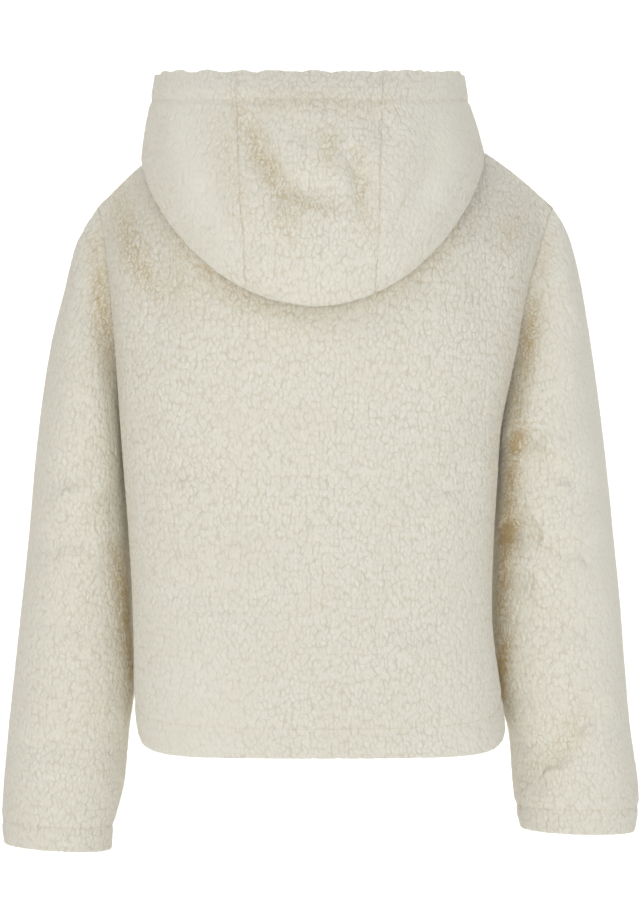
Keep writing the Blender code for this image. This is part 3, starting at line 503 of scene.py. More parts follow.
def armholeLevel(around):
    # The body's row at an angle round the armhole: 0 is its top, 180 the underarm.
    part = 1 - np.abs(180 - np.abs(180 - np.mod(around, 360))) / 180
    return cut["underarm"] + (cut["bodyTop"] - cut["underarm"]) * part**1.35


def armhole(side, around):
    # A point of the armhole seam. The back half is 0 to 180 and the front 180 to 360.
    around = np.mod(around, 360)
    level = armholeLevel(around)
    turn = np.where(around <= 180, backEdge(level), frontEdge(level))
    return bodyPoint(side * turn, level)


def armholeNormal(side, around):
    # The direction that the walls on both sides of the armhole seam share.
    point = armhole(side, around)
    ends = armhole(side, np.array([0.0, 180.0]))
    middle = ends.mean(axis=0)
    out = point - middle
    out[..., 0] = 0
    out = unit(out)
    out[..., 0] = side * np.abs(np.sin(np.radians(around)))
    return unit(out)


def sleeveOval(side, around, row):
    # A sleeve's outer face as plain ovals. Around: 0 outer, 90 back, 180 inner, 270 front.
    table = sleeveLeft if side > 0 else sleeveRight
    angle = np.radians(around)
    wide = power(np.cos(angle), 2 / sleeve["round"])
    deep = power(np.sin(angle), 2 / sleeve["round"])
    outX, outZ = read(table, "outX", row), read(table, "outZ", row)
    inX, inZ = read(table, "inX", row), read(table, "inZ", row)
    x = (outX + inX) / 2 + (outX - inX) / 2 * wide
    z = (outZ + inZ) / 2 + (outZ - inZ) / 2 * wide
    y = read(table, "midY", row) + read(table, "halfDeep", row) * deep
    return np.stack([side * x, y, z], axis=-1)


def sleeveSurface(side):
    def surface(around, row):
        around, row = np.broadcast_arrays(np.asarray(around, float), np.asarray(row, float))
        oval = sleeveOval(side, around, row)
        seam = armhole(side, around) - sleeveOval(side, around, 0 * row)
        share = ease(1 - row / sleeve["blend"])[..., None]
        return oval + seam * share

    return surface


def shoulderTop(x, y):
    # Roughly how high the top of the shoulders is at (x, y).
    heights = []
    for side, name in ((1, "leftX"), (-1, "rightX")):
        endX = read(bodySections, name, cut["bodyTop"])
        part = np.clip((side * x - neck["halfWide"]) / (endX - neck["halfWide"]), 0, 1)
        heights.append(shoulder(side, part)[..., 2])
    height = np.where(x > 0, heights[0], heights[1])
    return height - cut["shoulderFall"] * ((y - cut["shoulderY"]) / 0.05) ** 2


def hoodSurface(turn, row):
    # The hood's outer face. Turn is in degrees from the centre back.
    turn, row = np.broadcast_arrays(np.asarray(turn, float), np.asarray(row, float))
    angle = np.radians(np.abs(turn))
    back = np.abs(turn) <= 90
    bow = 2 / read(hoodLines, "round", row)
    across = np.abs(np.sin(angle)) ** bow
    ahead = np.abs(np.cos(angle)) ** bow
    half = np.where(turn >= 0, read(hoodLines, "leftX", row), read(hoodLines, "rightX", row))
    endX = np.where(back, 0.0, read(hoodLines, "frontX", row))
    endY = np.where(back, read(hoodLines, "backY", row), read(hoodLines, "frontY", row))
    endZ = np.where(back, read(hoodLines, "backZ", row), read(hoodLines, "frontZ", row))
    sideY = read(hoodLines, "sideY", row)
    sideZ = read(hoodLines, "sideZ", row)
    x = np.sign(turn) * (endX + (half - endX) * across)
    y = sideY + (endY - sideY) * ahead
    z = sideZ + (endZ - sideZ) * np.where(back, ahead**hood["belly"], ahead**1.2)
    rest = shoulderTop(x, y) + hood["clear"]
    lifted = (z + rest + np.hypot(z - rest, hood["soft"])) / 2
    z = z + (lifted - z) * ease(row / 2)
    return np.stack([x, y, z], axis=-1)


def hoodNormal(turn, row):
    row = np.clip(row, slopeStep["row"], hood["rim"] - slopeStep["row"])
    turn = np.clip(turn, slopeStep["turn"] - 180, 180 - slopeStep["turn"])
    return -slopes(hoodSurface, turn, row, slopeStep["turn"], slopeStep["row"])


def hoodPoint(turn, row):
    point = hoodSurface(turn, row)
    normal = hoodNormal(turn, row)
    nearRim = ease((row - hood["stitch"] + 3.5) / 1.5)
    point = point - normal * (nearRim * folds(point, normal, "hood", None))[..., None]
    x, y = point[..., 0], point[..., 1]
    end = np.where(x > 0, hood["rimLeft"], hood["rimRight"])
    corner = np.exp(-(((np.abs(x) - end) / hood["cornerWide"]) ** 2))
    lumps = waver(x, y, 0.022, 11.0) + 0.5 * waver(x, y, 0.009, 12.0)
    rise = hood["rimLumps"] * lumps - hood["cornerDeep"] * corner * (y > 0)
    point[..., 2] += ease((row - hood["stitch"]) / (hood["rim"] - hood["stitch"])) * rise
    return point




def runAlong(points, axis):
    # Distance from the first point, along rows (axis 1) or down columns (axis 0).
    steps = np.linalg.norm(np.diff(points, axis=axis), axis=-1)
    start = np.zeros_like(np.take(steps, [0], axis=axis))
    return np.concatenate([start, np.cumsum(steps, axis=axis)], axis=axis)


def evenly(values, line, count):
    # `count` + 1 values that space the points of a line evenly.
    run = runAlong(line, 0)
    return np.interp(np.linspace(0, run[-1], count + 1), run, values)


def rolledRows(band, flatRows, roundRows):
    # A turned edge, as (distance from the edge, depth, lean of the normal): from the
    # turned layer's cut end inside, round the edge, out to the line of stitches.
    radius = cloth["hemWall"] / 2
    flat = np.linspace(band, radius, flatRows + 1)
    angle = np.linspace(0, np.pi / 2, roundRows + 1)[1:]
    away = np.concatenate([flat, radius - radius * np.sin(angle)])
    depth = np.concatenate([0 * flat + 2 * radius, radius + radius * np.cos(angle)])
    lean = np.concatenate([0 * flat + np.pi, np.pi - angle])
    away = np.concatenate([away, away[-2::-1]])
    depth = np.concatenate([depth, 2 * radius - depth[-2::-1]])
    lean = np.concatenate([lean, np.pi - lean[-2::-1]])
    return away, depth, lean


def fan(fine, coarse, places, faces):
    # Triangles between a fine rail and a coarse one whose points sit at `places` of it.
    for step in range(len(coarse) - 1):
        first, last = places[step], places[step + 1]
        middle = (first + last) // 2
        for spot in range(first, last):
            near = coarse[step] if spot < middle else coarse[step + 1]
            faces.append((fine[spot], fine[spot + 1], near))
        faces.append((fine[middle], coarse[step + 1], coarse[step]))


def thinned(count, step):
    # Every so many of `count` places, with the last one.
    places = list(range(0, count - 1, step))
    if len(places) > 1 and count - 1 - places[-1] < step / 2:
        places.pop()
    return places + [count - 1]


def quadsOf(grid):
    # The four corners of each cell of a grid of numbers or values.
    corners = [grid[:-1, :-1], grid[:-1, 1:], grid[1:, 1:], grid[1:, :-1]]
    return np.stack(corners, axis=-1).reshape(-1, 4)


def numbered(rows, columns):
    return np.arange(rows * columns).reshape(rows, columns)


def between(grid, rows, columns):
    # Values of a coarse grid at fractional rows and columns.
    row = np.minimum(rows.astype(int), grid.shape[0] - 2)[:, None]
    column = np.minimum(columns.astype(int), grid.shape[1] - 2)[None]
    down = (rows[:, None] - row)[..., None]
    along = (columns[None] - column)[..., None]
    low = grid[row, column] * (1 - along) + grid[row, column + 1] * along
    high = grid[row + 1, column] * (1 - along) + grid[row + 1, column + 1] * along
    return low * (1 - down) + high * down


def flattened(piece, spots, across, down):
    # The piece laid flat as it was cut, in metres, with its grain down the middle.
    count = cloth["flatGrid"]
    rows, columns = (np.linspace(0, n - 1, count).round().astype(int) for n in spots.shape[:2])
    coarse = spots[rows][:, columns]
    mesh = bpy.data.meshes.new("flat")
    faces = quadsOf(numbered(count, count)).tolist()
    mesh.from_pydata([tuple(spot) for spot in coarse.reshape(-1, 3)], [], faces)
    mesh.uv_layers.new(name="flat")
    helper = bpy.data.objects.new("flat", mesh)
    bpy.context.scene.collection.objects.link(helper)
    bpy.context.view_layer.objects.active = helper
    helper.select_set(True)
    bpy.ops.object.mode_set(mode="EDIT")
    bpy.ops.mesh.select_all(action="SELECT")
    bpy.ops.uv.unwrap(method="MINIMUM_STRETCH", iterations=16)
    bpy.ops.object.mode_set(mode="OBJECT")
    uv = np.empty(len(mesh.loops) * 2)
    mesh.uv_layers["flat"].data.foreach_get("uv", uv)
    corner = np.empty(len(mesh.loops), int)
    mesh.loops.foreach_get("vertex_index", corner)
    flat = np.zeros((count * count, 2))
    flat[corner] = uv.reshape(-1, 2)
    flat = flat.reshape(count, count, 2)
    bpy.data.objects.remove(helper, do_unlink=True)
    bpy.data.meshes.remove(mesh)
    true = np.stack([across, down], axis=-1)[rows][:, columns]
    worn, laid = (np.linalg.norm(np.diff(grid, axis=0), axis=-1).mean() for grid in (coarse, flat))
    flat = (flat - flat.mean(axis=(0, 1))) * worn / laid
    aim = (true - true.mean(axis=(0, 1))).reshape(-1, 2)
    left, _, right = np.linalg.svd(flat.reshape(-1, 2).T @ aim)
    flat = flat @ (left @ right)
    steps = np.arange(count)
    at = [np.interp(np.arange(n), kept, steps) for n, kept in zip(spots.shape, (rows, columns))]
    return between(flat, *at)


lap = 0.35 * mm
room = {
    "grid": 3,
    "start": 0.8 * mm,
    "reach": 2.4,
    "share": 0.4,
    "spare": 0.5 * mm,
    "shrink": 0.6,
    "tries": 6,
}


def wallRoom(face, spots, ways):
    # How thick the wall can be at each spot: less than half the room inside a sharp fold.
    grid = face[:: room["grid"], :: room["grid"]]
    quads = quadsOf(numbered(*grid.shape[:2])).tolist()
    tree = BVHTree.FromPolygons([tuple(spot) for spot in grid.reshape(-1, 3)], quads)
    thick = np.full(spots.shape[:2], cloth["wall"])
    turns = [np.array(tree.find_nearest(Vector(spot))[1]) for spot in spots[spots.shape[0] // 2]]
    facing = np.sign(np.sum(np.array(turns) * ways[spots.shape[0] // 2]))
    for place in np.ndindex(*thick.shape):
        start = spots[place] - ways[place] * room["start"]
        found = tree.ray_cast(Vector(start), Vector(-ways[place]), cloth["wall"] * room["reach"])[3]
        if found is not None:
            thick[place] = min(cloth["wall"], room["share"] * (found + room["start"]))
        for _ in range(room["tries"]):
            inner = Vector(spots[place] - ways[place] * thick[place])
            near, turn, _, _ = tree.find_nearest(inner)
            if facing * (inner - near).dot(turn) < -room["spare"]:
                break
            thick[place] *= room["shrink"]
    return thick


def addValues(mesh, name, values):
    # Keeps a value or a direction for each point of the outer face, and 0 inside.
    size = values.shape[2] if values.ndim == 3 else 1
    kept = np.zeros((len(mesh.vertices), size))
    kept[: values.size // size] = values.reshape(-1, size)
    kind, field = ("FLOAT", "value") if size == 1 else ("FLOAT_VECTOR", "vector")
    mesh.attributes.new(name, kind, "POINT").data.foreach_set(field, kept.ravel())


def clothShell(piece, outer, normal, rolled, edgeWay, drops, hollow, closed):
    # One wall of cloth. `outer` and `normal` are grids from the turned edge's stitch line
    # up; `rolled` holds the grid rows of the turned edge, which come first.
    away, depth, lean = rolled
    turned = len(away)
    tip = turned // 2
    rollNormal = (
        normal[:turned] * np.cos(lean)[:, None, None]
        + edgeWay[None] * np.sin(lean)[:, None, None]
    )
    dip = cloth["stitchDip"] * np.exp(-(((away - away[0]) / cloth["stitchWide"]) ** 2))
    inside = np.arange(turned) < tip
    sunk = depth + np.where(inside, -0.5, 1.0) * dip
    fine = outer.copy()
    fine[:turned] -= normal[:turned] * sunk[:, None, None]
    runs = runAlong(outer[turned - 1 :], 0)
    upDip = cloth["stitchDip"] * np.exp(-((runs / cloth["stitchWide"]) ** 2))
    fine[turned:] -= normal[turned:] * (upDip[1:] + drops[turned:])[..., None]
    fine[:turned] -= rollNormal * (drops[:turned] * (np.cos(lean) > -0.5)[:, None])[..., None]
    outward = normal.copy()
    outward[:turned] = rollNormal
    piece["made"] = (fine, outward, turned)
    piece["stitchNormal"] = normal[turned - 1]
    rows, columns = fine.shape[:2]
    across = runAlong(fine, 1)
    across = across - across[:, columns // 2][:, None]
    down = runAlong(fine, 0)
    down = down - down[tip][None]
    flat = flattened(piece, outer[turned - 1 :], across[turned - 1 :], down[turned - 1 :])
    rolledRun = down[:turned] - down[turned - 1]
    across[turned - 1 :] = flat[..., 0]
    across[: turned - 1] = across[turned - 1]
    down[turned - 1 :] = flat[..., 1]
    down[:turned] = rolledRun + down[turned - 1]
    if not closed:
        fine[:, 0] += lap * unit(fine[:, 0] - fine[:, 1])
        fine[:, -1] += lap * unit(fine[:, -1] - fine[:, -2])
    fine[-1] += lap * unit(fine[-1] - fine[-2])

    rowPlaces = [turned - 1 + place for place in thinned(rows - turned + 1, piece["coarse"])]
    columnPlaces = thinned(columns, piece["coarse"])
    inward = normal[rowPlaces][:, columnPlaces]
    thick = np.full(inward.shape[:2], cloth["wall"])
    if piece["brushed"] == "hood":
        inward = unit(sum(np.roll(inward, shift, 0) for shift in range(-2, 3)))
        inward[[0, 1, -2, -1]] = normal[rowPlaces][[0, 1, -2, -1]][:, columnPlaces]
        thick = wallRoom(outer[turned - 1 :], outer[rowPlaces][:, columnPlaces], inward)
    lining = outer[rowPlaces][:, columnPlaces] - inward * thick[..., None]
    count = rows * columns
    wide = len(columnPlaces)
    fineWrap, knitWrap = (columns - 1, wide - 1) if closed else (columns, wide)
    fineNumber = np.arange(rows)[:, None] * columns + np.arange(columns) % fineWrap
    knitNumber = count + np.arange(len(rowPlaces))[:, None] * wide + np.arange(wide) % knitWrap
    quads, knitQuads = quadsOf(fineNumber), quadsOf(knitNumber)
    ties = []
    fan(fineNumber[-1], knitNumber[-1], columnPlaces, ties)
    fan(fineNumber[0], knitNumber[0], columnPlaces, ties)
    for end in () if closed else (0, -1):
        rail = fineNumber[:, end]
        for step in range(tip):
            low, high = rail[tip - step - 1], rail[tip + step + 1]
            ties.append((low, high, rail[tip + step]))
            if step > 0:
                ties.append((low, rail[tip + step], rail[tip - step]))
        ties.append((rail[0], rail[turned - 1], knitNumber[0, end]))
        places = [place - turned + 1 for place in rowPlaces]
        fan(rail[turned - 1 :], knitNumber[:, end], places, ties)
    ties = np.array(ties)
    spots = np.concatenate([fine.reshape(-1, 3), lining.reshape(-1, 3)])
    onCloth = np.stack([across, down], axis=-1)
    knitOnCloth = onCloth[rowPlaces][:, columnPlaces]
    flatWeave = np.concatenate([onCloth.reshape(-1, 2), knitOnCloth.reshape(-1, 2)])
    quadWeave = np.stack([quadsOf(across), quadsOf(down)], axis=-1).reshape(-1, 2)
    mesh = bpy.data.meshes.new(piece["name"])
    loops = np.concatenate([quads.ravel(), knitQuads.ravel(), ties.ravel()])
    sizes = np.repeat([4, 3], [len(quads) + len(knitQuads), len(ties)])
    mesh.vertices.add(len(spots))
    mesh.vertices.foreach_set("co", spots.ravel())
    mesh.loops.add(len(loops))
    mesh.loops.foreach_set("vertex_index", loops)
    mesh.polygons.add(len(sizes))
    mesh.polygons.foreach_set("loop_start", np.concatenate([[0], np.cumsum(sizes)[:-1]]))
    kinds = np.repeat([0, 1], [len(quads), len(knitQuads) + len(ties)])
    mesh.polygons.foreach_set("material_index", kinds)
    mesh.update(calc_edges=True)
    weave = mesh.uv_layers.new(name="weave")
    rest = flatWeave[loops[len(quads) * 4 :]]
    weave.data.foreach_set("uv", np.concatenate([quadWeave, rest]).ravel())
    fade = drops / cloth["seamDeep"]
    relief = 1 - cloth["seamPressed"] * np.clip(fade, 0, 1)
    relief[0] = 0
    smooth = np.zeros((rows, columns))
    for path, strength, halfWide in brushed[piece["brushed"]]:
        found = nearPath(outer[..., 0], outer[..., 2], path, halfWide)
        smooth = np.maximum(smooth, strength * found)
    addValues(mesh, "relief", relief)
    # Painted warm shade from the paths, and a little in the seam valleys, partly the pile's roots
    addValues(mesh, "hollow", hollow + cloth["seamShade"] * fade)
    addValues(mesh, "brushed", smooth)
    addValues(mesh, "outward", outward)
    shape = bmesh.new()
    shape.from_mesh(mesh)
    bmesh.ops.recalc_face_normals(shape, faces=shape.faces)
    loose = [vert for vert in shape.verts if not vert.link_faces]
    bmesh.ops.delete(shape, geom=loose, context="VERTS")
    shape.to_mesh(mesh)
    shape.free()
    mesh.shade_smooth()
    made = bpy.data.objects.new(piece["name"], mesh)
    bpy.context.scene.collection.objects.link(made)
    print(piece["name"], len(quads) * 2 + len(knitQuads) * 2 + len(ties), "triangles")
    return made


def rootsAndShadeAt(point, normal, behind, ahead):
    # Painted warm shade and the crushed pile's warm roots, from 0 to 1, behind and in front.
    total = np.zeros(point.shape[:-1])
    for name, facing in ((behind, 1), (ahead, -1)):
        if name is None:
            continue
        faces = ease((facing * normal[..., 1] - 0.05) / 0.3)
        for path, strength, halfWide in rootsAndShadePaths.get(name, ()):
            shape = nearPath(point[..., 0], point[..., 2], path, halfWide)
            total = np.maximum(total, faces * strength * shape)
    return total


def seamDrop(distance, seed, line):
    # The valley where a seam pulls the pile in, a little uneven along its line.
    uneven = 1 + 0.22 * waver(line[..., 0] + line[..., 1], line[..., 2], 0.03, seed)
    return cloth["seamDeep"] * uneven * np.exp(-((distance / cloth["seamWide"]) ** 2))


# The body: a back and two fronts, hem to shoulder and neck
seamBlend = 9 * mm
edgeStep = 0.06  # rows
zipHalf = 9 * mm
bodyHem = {"band": 0.0285, "flatRows": 14, "roundRows": 4}


def turnsAt(level, start, end, count):
    fine = np.linspace(start, end, 161)
    return evenly(fine, bodySmooth(fine, level + 0 * fine), count)


def shoulderNormal(side, part):
    # Straight up from the shoulder seam, square to it.
    way = unit(shoulder(side, part + 0.01) - shoulder(side, part - 0.01))
    up = np.array([0.0, 0.0, 1.0])
    return unit(up - (way @ up)[..., None] * way)


def zipTurn(level):
    # The turn at which a front ends beside the zip.
    fine = np.linspace(180, 160, 81)
    x = bodySmooth(fine, level + 0 * fine)[:, 0]
    return float(np.interp(zipHalf, x, fine))


def makePanel(piece, startEdge, endEdge, back):
    # A body panel between two edges, each a function of the row that gives a turn.
    rolled = rolledRows(bodyHem["band"], bodyHem["flatRows"], bodyHem["roundRows"])
    line = np.linspace(1, cut["bodyTop"], 401)
    middle = 45.0 if back else 135.0
    upper = evenly(line, bodySmooth(middle + 0 * line, line), piece["rows"])
    levels = np.concatenate([rolled[0] / bodyHem["band"], upper[1:]])
    turns = np.array([turnsAt(v, startEdge(v), endEdge(v), piece["columns"]) for v in levels])
    corner = cut["neckTurnBack"] if back else cut["neckTurnFront"]
    for side in (-1, 1):
        nearest = np.argmin(np.abs(turns[-1] - side * corner))
        if abs(turns[-1, nearest] - side * corner) < 180 / piece["columns"]:
            turns[-1, nearest] = side * corner
    spots = levels[:, None] + 0 * turns
    outer = bodyPoint(turns, spots)
    normal = bodyNormal(turns, spots)
    edge = backEdge(cut["bodyTop"]) if back else frontEdge(cut["bodyTop"])
    for place, turn in enumerate(turns[-1]):
        side = math.copysign(1, turn)
        part = (abs(turn) - corner) / (edge - corner)
        if part < -1e-6:
            normal[-1, place] = unit(normal[-1, place] * (1, 1, 0))
            continue
        if part < 1e-6:
            cornerOut = shoulderNormal(side, np.array([0.0]))[0] + (side, 0, 0)
            normal[-1, place] = unit(cornerOut)
        elif part < 1 - 1e-6:
            normal[-1, place] = shoulderNormal(side, np.array([part]))[0]
    bottom = 0 * turns[0]
    edgeWay = unit(bodySmooth(turns[0], bottom) - bodySmooth(turns[0], bottom + edgeStep))
    drops = np.zeros(turns.shape)
    across = runAlong(outer, 1)
    fromStart, fromEnd = across, across[:, -1:] - across
    upper = levels >= cut["underarm"] - 1e-9
    part = armholePart(levels[upper]) ** (1 / 1.35)
    around = 180 - 180 * part if back else 180 + 180 * part
    for column, distance in ((0, fromStart), (-1, fromEnd)):
        if abs(abs(turns[0, column]) - cut["sideSeam"]) > 1:
            continue
        shared = armholeNormal(math.copysign(1, turns[0, column]), around)[:, None]
        near = ease(1 - distance[upper] / seamBlend)[..., None]
        normal[upper] = unit(normal[upper] * (1 - near) + shared * near)
    up = runAlong(outer, 0)
    fromTop = up[-1:] - up
    for distance, kind, seed in ((fromStart, piece["start"], 1.0), (fromEnd, piece["end"], 2.0)):
        if kind == "seam":
            drops += seamDrop(distance, seed, outer)
        else:
            rounding = np.clip(1 - distance / piece["foldRound"], 0, 1)
            drops += piece["foldRound"] * (1 - np.sqrt(np.maximum(1 - rounding**2, 0))) * 0.8
            away = (distance - piece["topstitch"]) / cloth["stitchWide"]
            drops += piece["topstitchDip"] * np.exp(-(away**2))
    drops += seamDrop(fromTop, 3.0, outer)
    drops = np.minimum(drops, cloth["seamMost"])
    hollow = rootsAndShadeAt(outer, normal, "back" if back else "front", "front")
    return clothShell(piece, outer, normal, rolled, edgeWay, drops, hollow, False)


backPanel = {
    "name": "back_panel_sherpa",
    "brushed": "back",
    "columns": 300,
    "rows": 276,
    "coarse": 5,
    "start": "seam",
    "end": "seam",
}
backCloth = makePanel(backPanel, lambda level: -backEdge(level), backEdge, True)
frontPanels = {
    "brushed": "front",
    "columns": 124,
    "rows": 236,
    "coarse": 4,
    "foldRound": 2.6 * mm,
    "topstitch": 6 * mm,
    "topstitchDip": 1.3 * mm,
}
leftFront = dict(frontPanels, name="front_left_sherpa", start="seam", end="fold")
leftCloth = makePanel(leftFront, frontEdge, zipTurn, False)
rightFront = dict(frontPanels, name="front_right_sherpa", start="fold", end="seam")
rightCloth = makePanel(
    rightFront, lambda level: -zipTurn(level), lambda level: -frontEdge(level), False
)
print("body made")

# Sleeves: one piece each, with a seam along the underarm
cuff = {"band": 0.0245, "flatRows": 12, "roundRows": 4}


def makeSleeve(piece, side):
    surface = sleeveSurface(side)
    rolled = rolledRows(cuff["band"], cuff["flatRows"], cuff["roundRows"])
    line = np.linspace(sleeve["stitch"], 0, 401)
    upper = evenly(line, surface(60 + 0 * line, line), piece["rows"])
    levels = np.concatenate([sleeve["edge"] - rolled[0] / cuff["band"], upper[1:]])
    fine = np.linspace(180, 540, 361)
    around = np.array([evenly(fine, surface(fine, v + 0 * fine), piece["columns"]) for v in levels])
    around[:, -1] = 540
    spots = levels[:, None] + 0 * around
    outer = surface(around, spots)
    inside = np.clip(spots, slopeStep["row"], sleeve["edge"] - slopeStep["row"])
    normal = -side * slopes(surface, around, inside, slopeStep["turn"] * 2, slopeStep["row"])
    up = runAlong(outer, 0)
    near = ease(1 - (up[-1:] - up) / seamBlend)[..., None]
    normal = unit(normal * (1 - near) + armholeNormal(side, around) * near)
    below = ease(spots / 1.5)
    outer = outer - normal * (folds(outer, normal, "sleeveBack", "sleeveFront") * below)[..., None]
    end = sleeve["edge"] + 0 * around[0]
    edgeWay = unit(surface(around[0], end) - surface(around[0], end - edgeStep))
    across = runAlong(outer, 1)
    up = runAlong(outer, 0)
    drops = seamDrop(np.minimum(across, across[:, -1:] - across), 4.0, outer)
    drops += seamDrop(up[-1:] - up, 5.0, outer)
    drops = np.minimum(drops, cloth["seamMost"])
    hollow = rootsAndShadeAt(outer, normal, "sleeveBack", "sleeveFront")
    return clothShell(piece, outer, normal, rolled, edgeWay, drops, hollow, True)


sleevePieces = {"brushed": "sleeve", "columns": 224, "rows": 232, "coarse": 4}
leftSleeve = dict(sleevePieces, name="sleeve_left_sherpa")
leftSleeveCloth = makeSleeve(leftSleeve, 1)
rightSleeve = dict(sleevePieces, name="sleeve_right_sherpa")
rightSleeveCloth = makeSleeve(rightSleeve, -1)
print("sleeves made")

# The hood: two sides and a centre panel, turned at the rim
rim = {"band": 0.0300, "flatRows": 15, "roundRows": 4}


def makeHoodPanel(piece, start, end):
    rolled = rolledRows(rim["band"], rim["flatRows"], rim["roundRows"])
    line = np.linspace(hood["stitch"], 0, 401)
    upper = evenly(line, hoodSurface(piece["rowTurn"] + 0 * line, line), piece["rows"])
    levels = np.concatenate([hood["rim"] - rolled[0] / rim["band"], upper[1:]])
    fine = np.linspace(start, end, 241)
    lines = [hoodSurface(fine, level + 0 * fine) for level in levels]
    turns = np.array([evenly(fine, line, piece["columns"]) for line in lines])
    spots = levels[:, None] + 0 * turns
    outer = hoodPoint(turns, spots)
    normal = hoodNormal(turns, spots)
    normal[-1] = unit(normal[-1] * (1, 1, 0))
    outer[-1] += cloth["neckGap"] * unit(outer[-2] - outer[-1])
    top = hood["rim"] + 0 * turns[0]
    edgeWay = unit(hoodSurface(turns[0], top) - hoodSurface(turns[0], top - edgeStep))
    across = runAlong(outer, 1)
    fromStart, fromEnd = across, across[:, -1:] - across
    up = runAlong(outer, 0)
    drops = seamDrop(fromStart, 6.0, outer) + seamDrop(fromEnd, 7.0, outer)
    drops += seamDrop(up[-1:] - up, 8.0, outer)
    drops = np.minimum(drops, cloth["seamMost"])
    hollow = rootsAndShadeAt(outer, normal, "hood", None)
    return clothShell(piece, outer, normal, rolled, edgeWay, drops, hollow, False)


hoodSides = {"brushed": "hood", "columns": 216, "rows": 214, "coarse": 4, "rowTurn": 40.0}
hoodLeft = dict(hoodSides, name="hood_left_sherpa")
hoodLeftCloth = makeHoodPanel(hoodLeft, hood["seamLeft"], hood["front"])
hoodCentre = dict(hoodSides, name="hood_centre_sherpa", columns=70, rowTurn=10.0)
hoodCentreCloth = makeHoodPanel(hoodCentre, -hood["seamRight"], hood["seamLeft"])
hoodRight = dict(hoodSides, name="hood_right_sherpa")
hoodRightCloth = makeHoodPanel(hoodRight, -hood["front"], -hood["seamRight"])
print("hood made")

# Looks

def linear(code):
    # An sRGB hex colour as the linear values that a shader takes.
    values = [int(code[place : place + 2], 16) / 255 for place in (0, 2, 4)]
    values = [v / 12.92 if v <= 0.04045 else ((v + 0.055) / 1.055) ** 2.4 for v in values]
    return (*values, 1.0)


def addNode(tree, kind, inputs=(), output=None, **settings):
    # Adds a node with its settings, links or sets its inputs, and gives one output.
    plain = not kind.startswith(("Geometry", "Function"))
    node = tree.nodes.new("ShaderNode" + kind if plain else kind)
    for name, value in settings.items():
        setattr(node, name, value)
    for place, value in inputs.items() if isinstance(inputs, dict) else enumerate(inputs):
        if isinstance(value, bpy.types.NodeSocket):
            tree.links.new(value, node.inputs[place])
        else:
            node.inputs[place].default_value = value
    found = [socket for socket in node.outputs if socket.enabled]
    return next(socket for socket in found if output in (None, socket.name))


def newMaterial(name, settings):
    # (material, its tree, its shader, what adds a node), with values that are the same all over.
    made = bpy.data.materials.new(name)
    made.use_nodes = True
    shader = made.node_tree.nodes["Principled BSDF"]
    for place, value in settings.items():
        shader.inputs[place].default_value = value
    return made, made.node_tree, shader, partial(addNode, made.node_tree)


# The pile: soft clumps about 4 x 6 mm that lie down the cloth and curl against each
# other, with thin uneven creases and smaller locks on each clump
pile = {
    "bend": 0.0030,
    "bendEvery": 0.0095,
    "wisp": 0.0012,
    "wispEvery": 0.0030,
    "breakEvery": 0.0085,
    "creaseWide": 0.20,
    "creaseDeep": 0.34,
    "curlWide": 0.0034,
    "curlTall": 0.0072,
    "curlCrease": 0.16,
    "curlDeep": 0.20,
    "lockWide": 0.0021,
    "lockTall": 0.0032,
    "lockDeep": 0.20,
    "domeFall": 0.8,
    "brushedFlat": 0.7,
}


def pileHeight(add, weave):
    # (height of the pile from 0 in a crease to 1 on a clump, how much it is a crease)
    place = weave
    for every, most in ((pile["bendEvery"], pile["bend"]), (pile["wispEvery"], pile["wisp"])):
        shift = add("TexNoise", {"Vector": weave, "Scale": 1 / every, "Detail": 1.0}, "Color")
        shift = add("VectorMath", (shift, (0.5, 0.5, 0.5)), operation="SUBTRACT")
        shift = add("VectorMath", (shift, (most * 2, most * 2, 0.0)), operation="MULTIPLY")
        place = add("VectorMath", (place, shift), operation="ADD")
    clump, lock = (cloth["clumpWide"], cloth["clumpTall"]), (pile["lockWide"], pile["lockTall"])
    found = {}
    for name, (wide, tall), feature, look in (
        ("edges", clump, "DISTANCE_TO_EDGE", {"Randomness": 0.95}),
        ("domes", clump, "SMOOTH_F1", {"Randomness": 0.95, "Smoothness": 0.45}),
        ("locks", lock, "SMOOTH_F1", {"Randomness": 1.0, "Smoothness": 0.5}),
    ):
        sized = add("VectorMath", (place, (1 / wide, 1 / tall, 0.0)), operation="MULTIPLY")
        look = dict(look, Vector=sized, Scale=1.0)
        found[name] = add("TexVoronoi", look, voronoi_dimensions="2D", feature=feature)
    crease = (found["edges"], 0.0, pile["creaseWide"], 1.0, 0.0)
    crease = add("MapRange", crease, interpolation_type="SMOOTHSTEP")
    broken = add("TexNoise", {"Vector": weave, "Scale": 1 / pile["breakEvery"], "Detail": 1.0})
    broken = add("MapRange", (broken, 0.34, 0.56, 0.35, 1.0), interpolation_type="SMOOTHSTEP")
    crease = add("Math", (crease, broken), operation="MULTIPLY")
    curl = (place, (1 / pile["curlWide"], 1 / pile["curlTall"], 0.0))
    curl = add("VectorMath", curl, operation="MULTIPLY")
    curl = add("TexNoise", {"Vector": curl, "Scale": 1.0, "Detail": 1.5})
    curl = add("Math", (curl, 0.5), operation="SUBTRACT")
    curl = add("Math", (curl,), operation="ABSOLUTE")
    curl = (curl, 0.0, pile["curlCrease"], 1.0, 0.0)
    curl = add("MapRange", curl, interpolation_type="SMOOTHSTEP")
    dome = add("Math", (found["domes"], found["domes"]), operation="MULTIPLY")
    height = 1.0
    parts = (dome, found["locks"], crease, curl)
    for part, deep in zip(parts, ("domeFall", "lockDeep", "creaseDeep", "curlDeep")):
        part = add("Math", (part, pile[deep]), operation="MULTIPLY")
        height = add("Math", (height, part), operation="SUBTRACT")
    return height, add("Math", (crease, curl), operation="MAXIMUM")


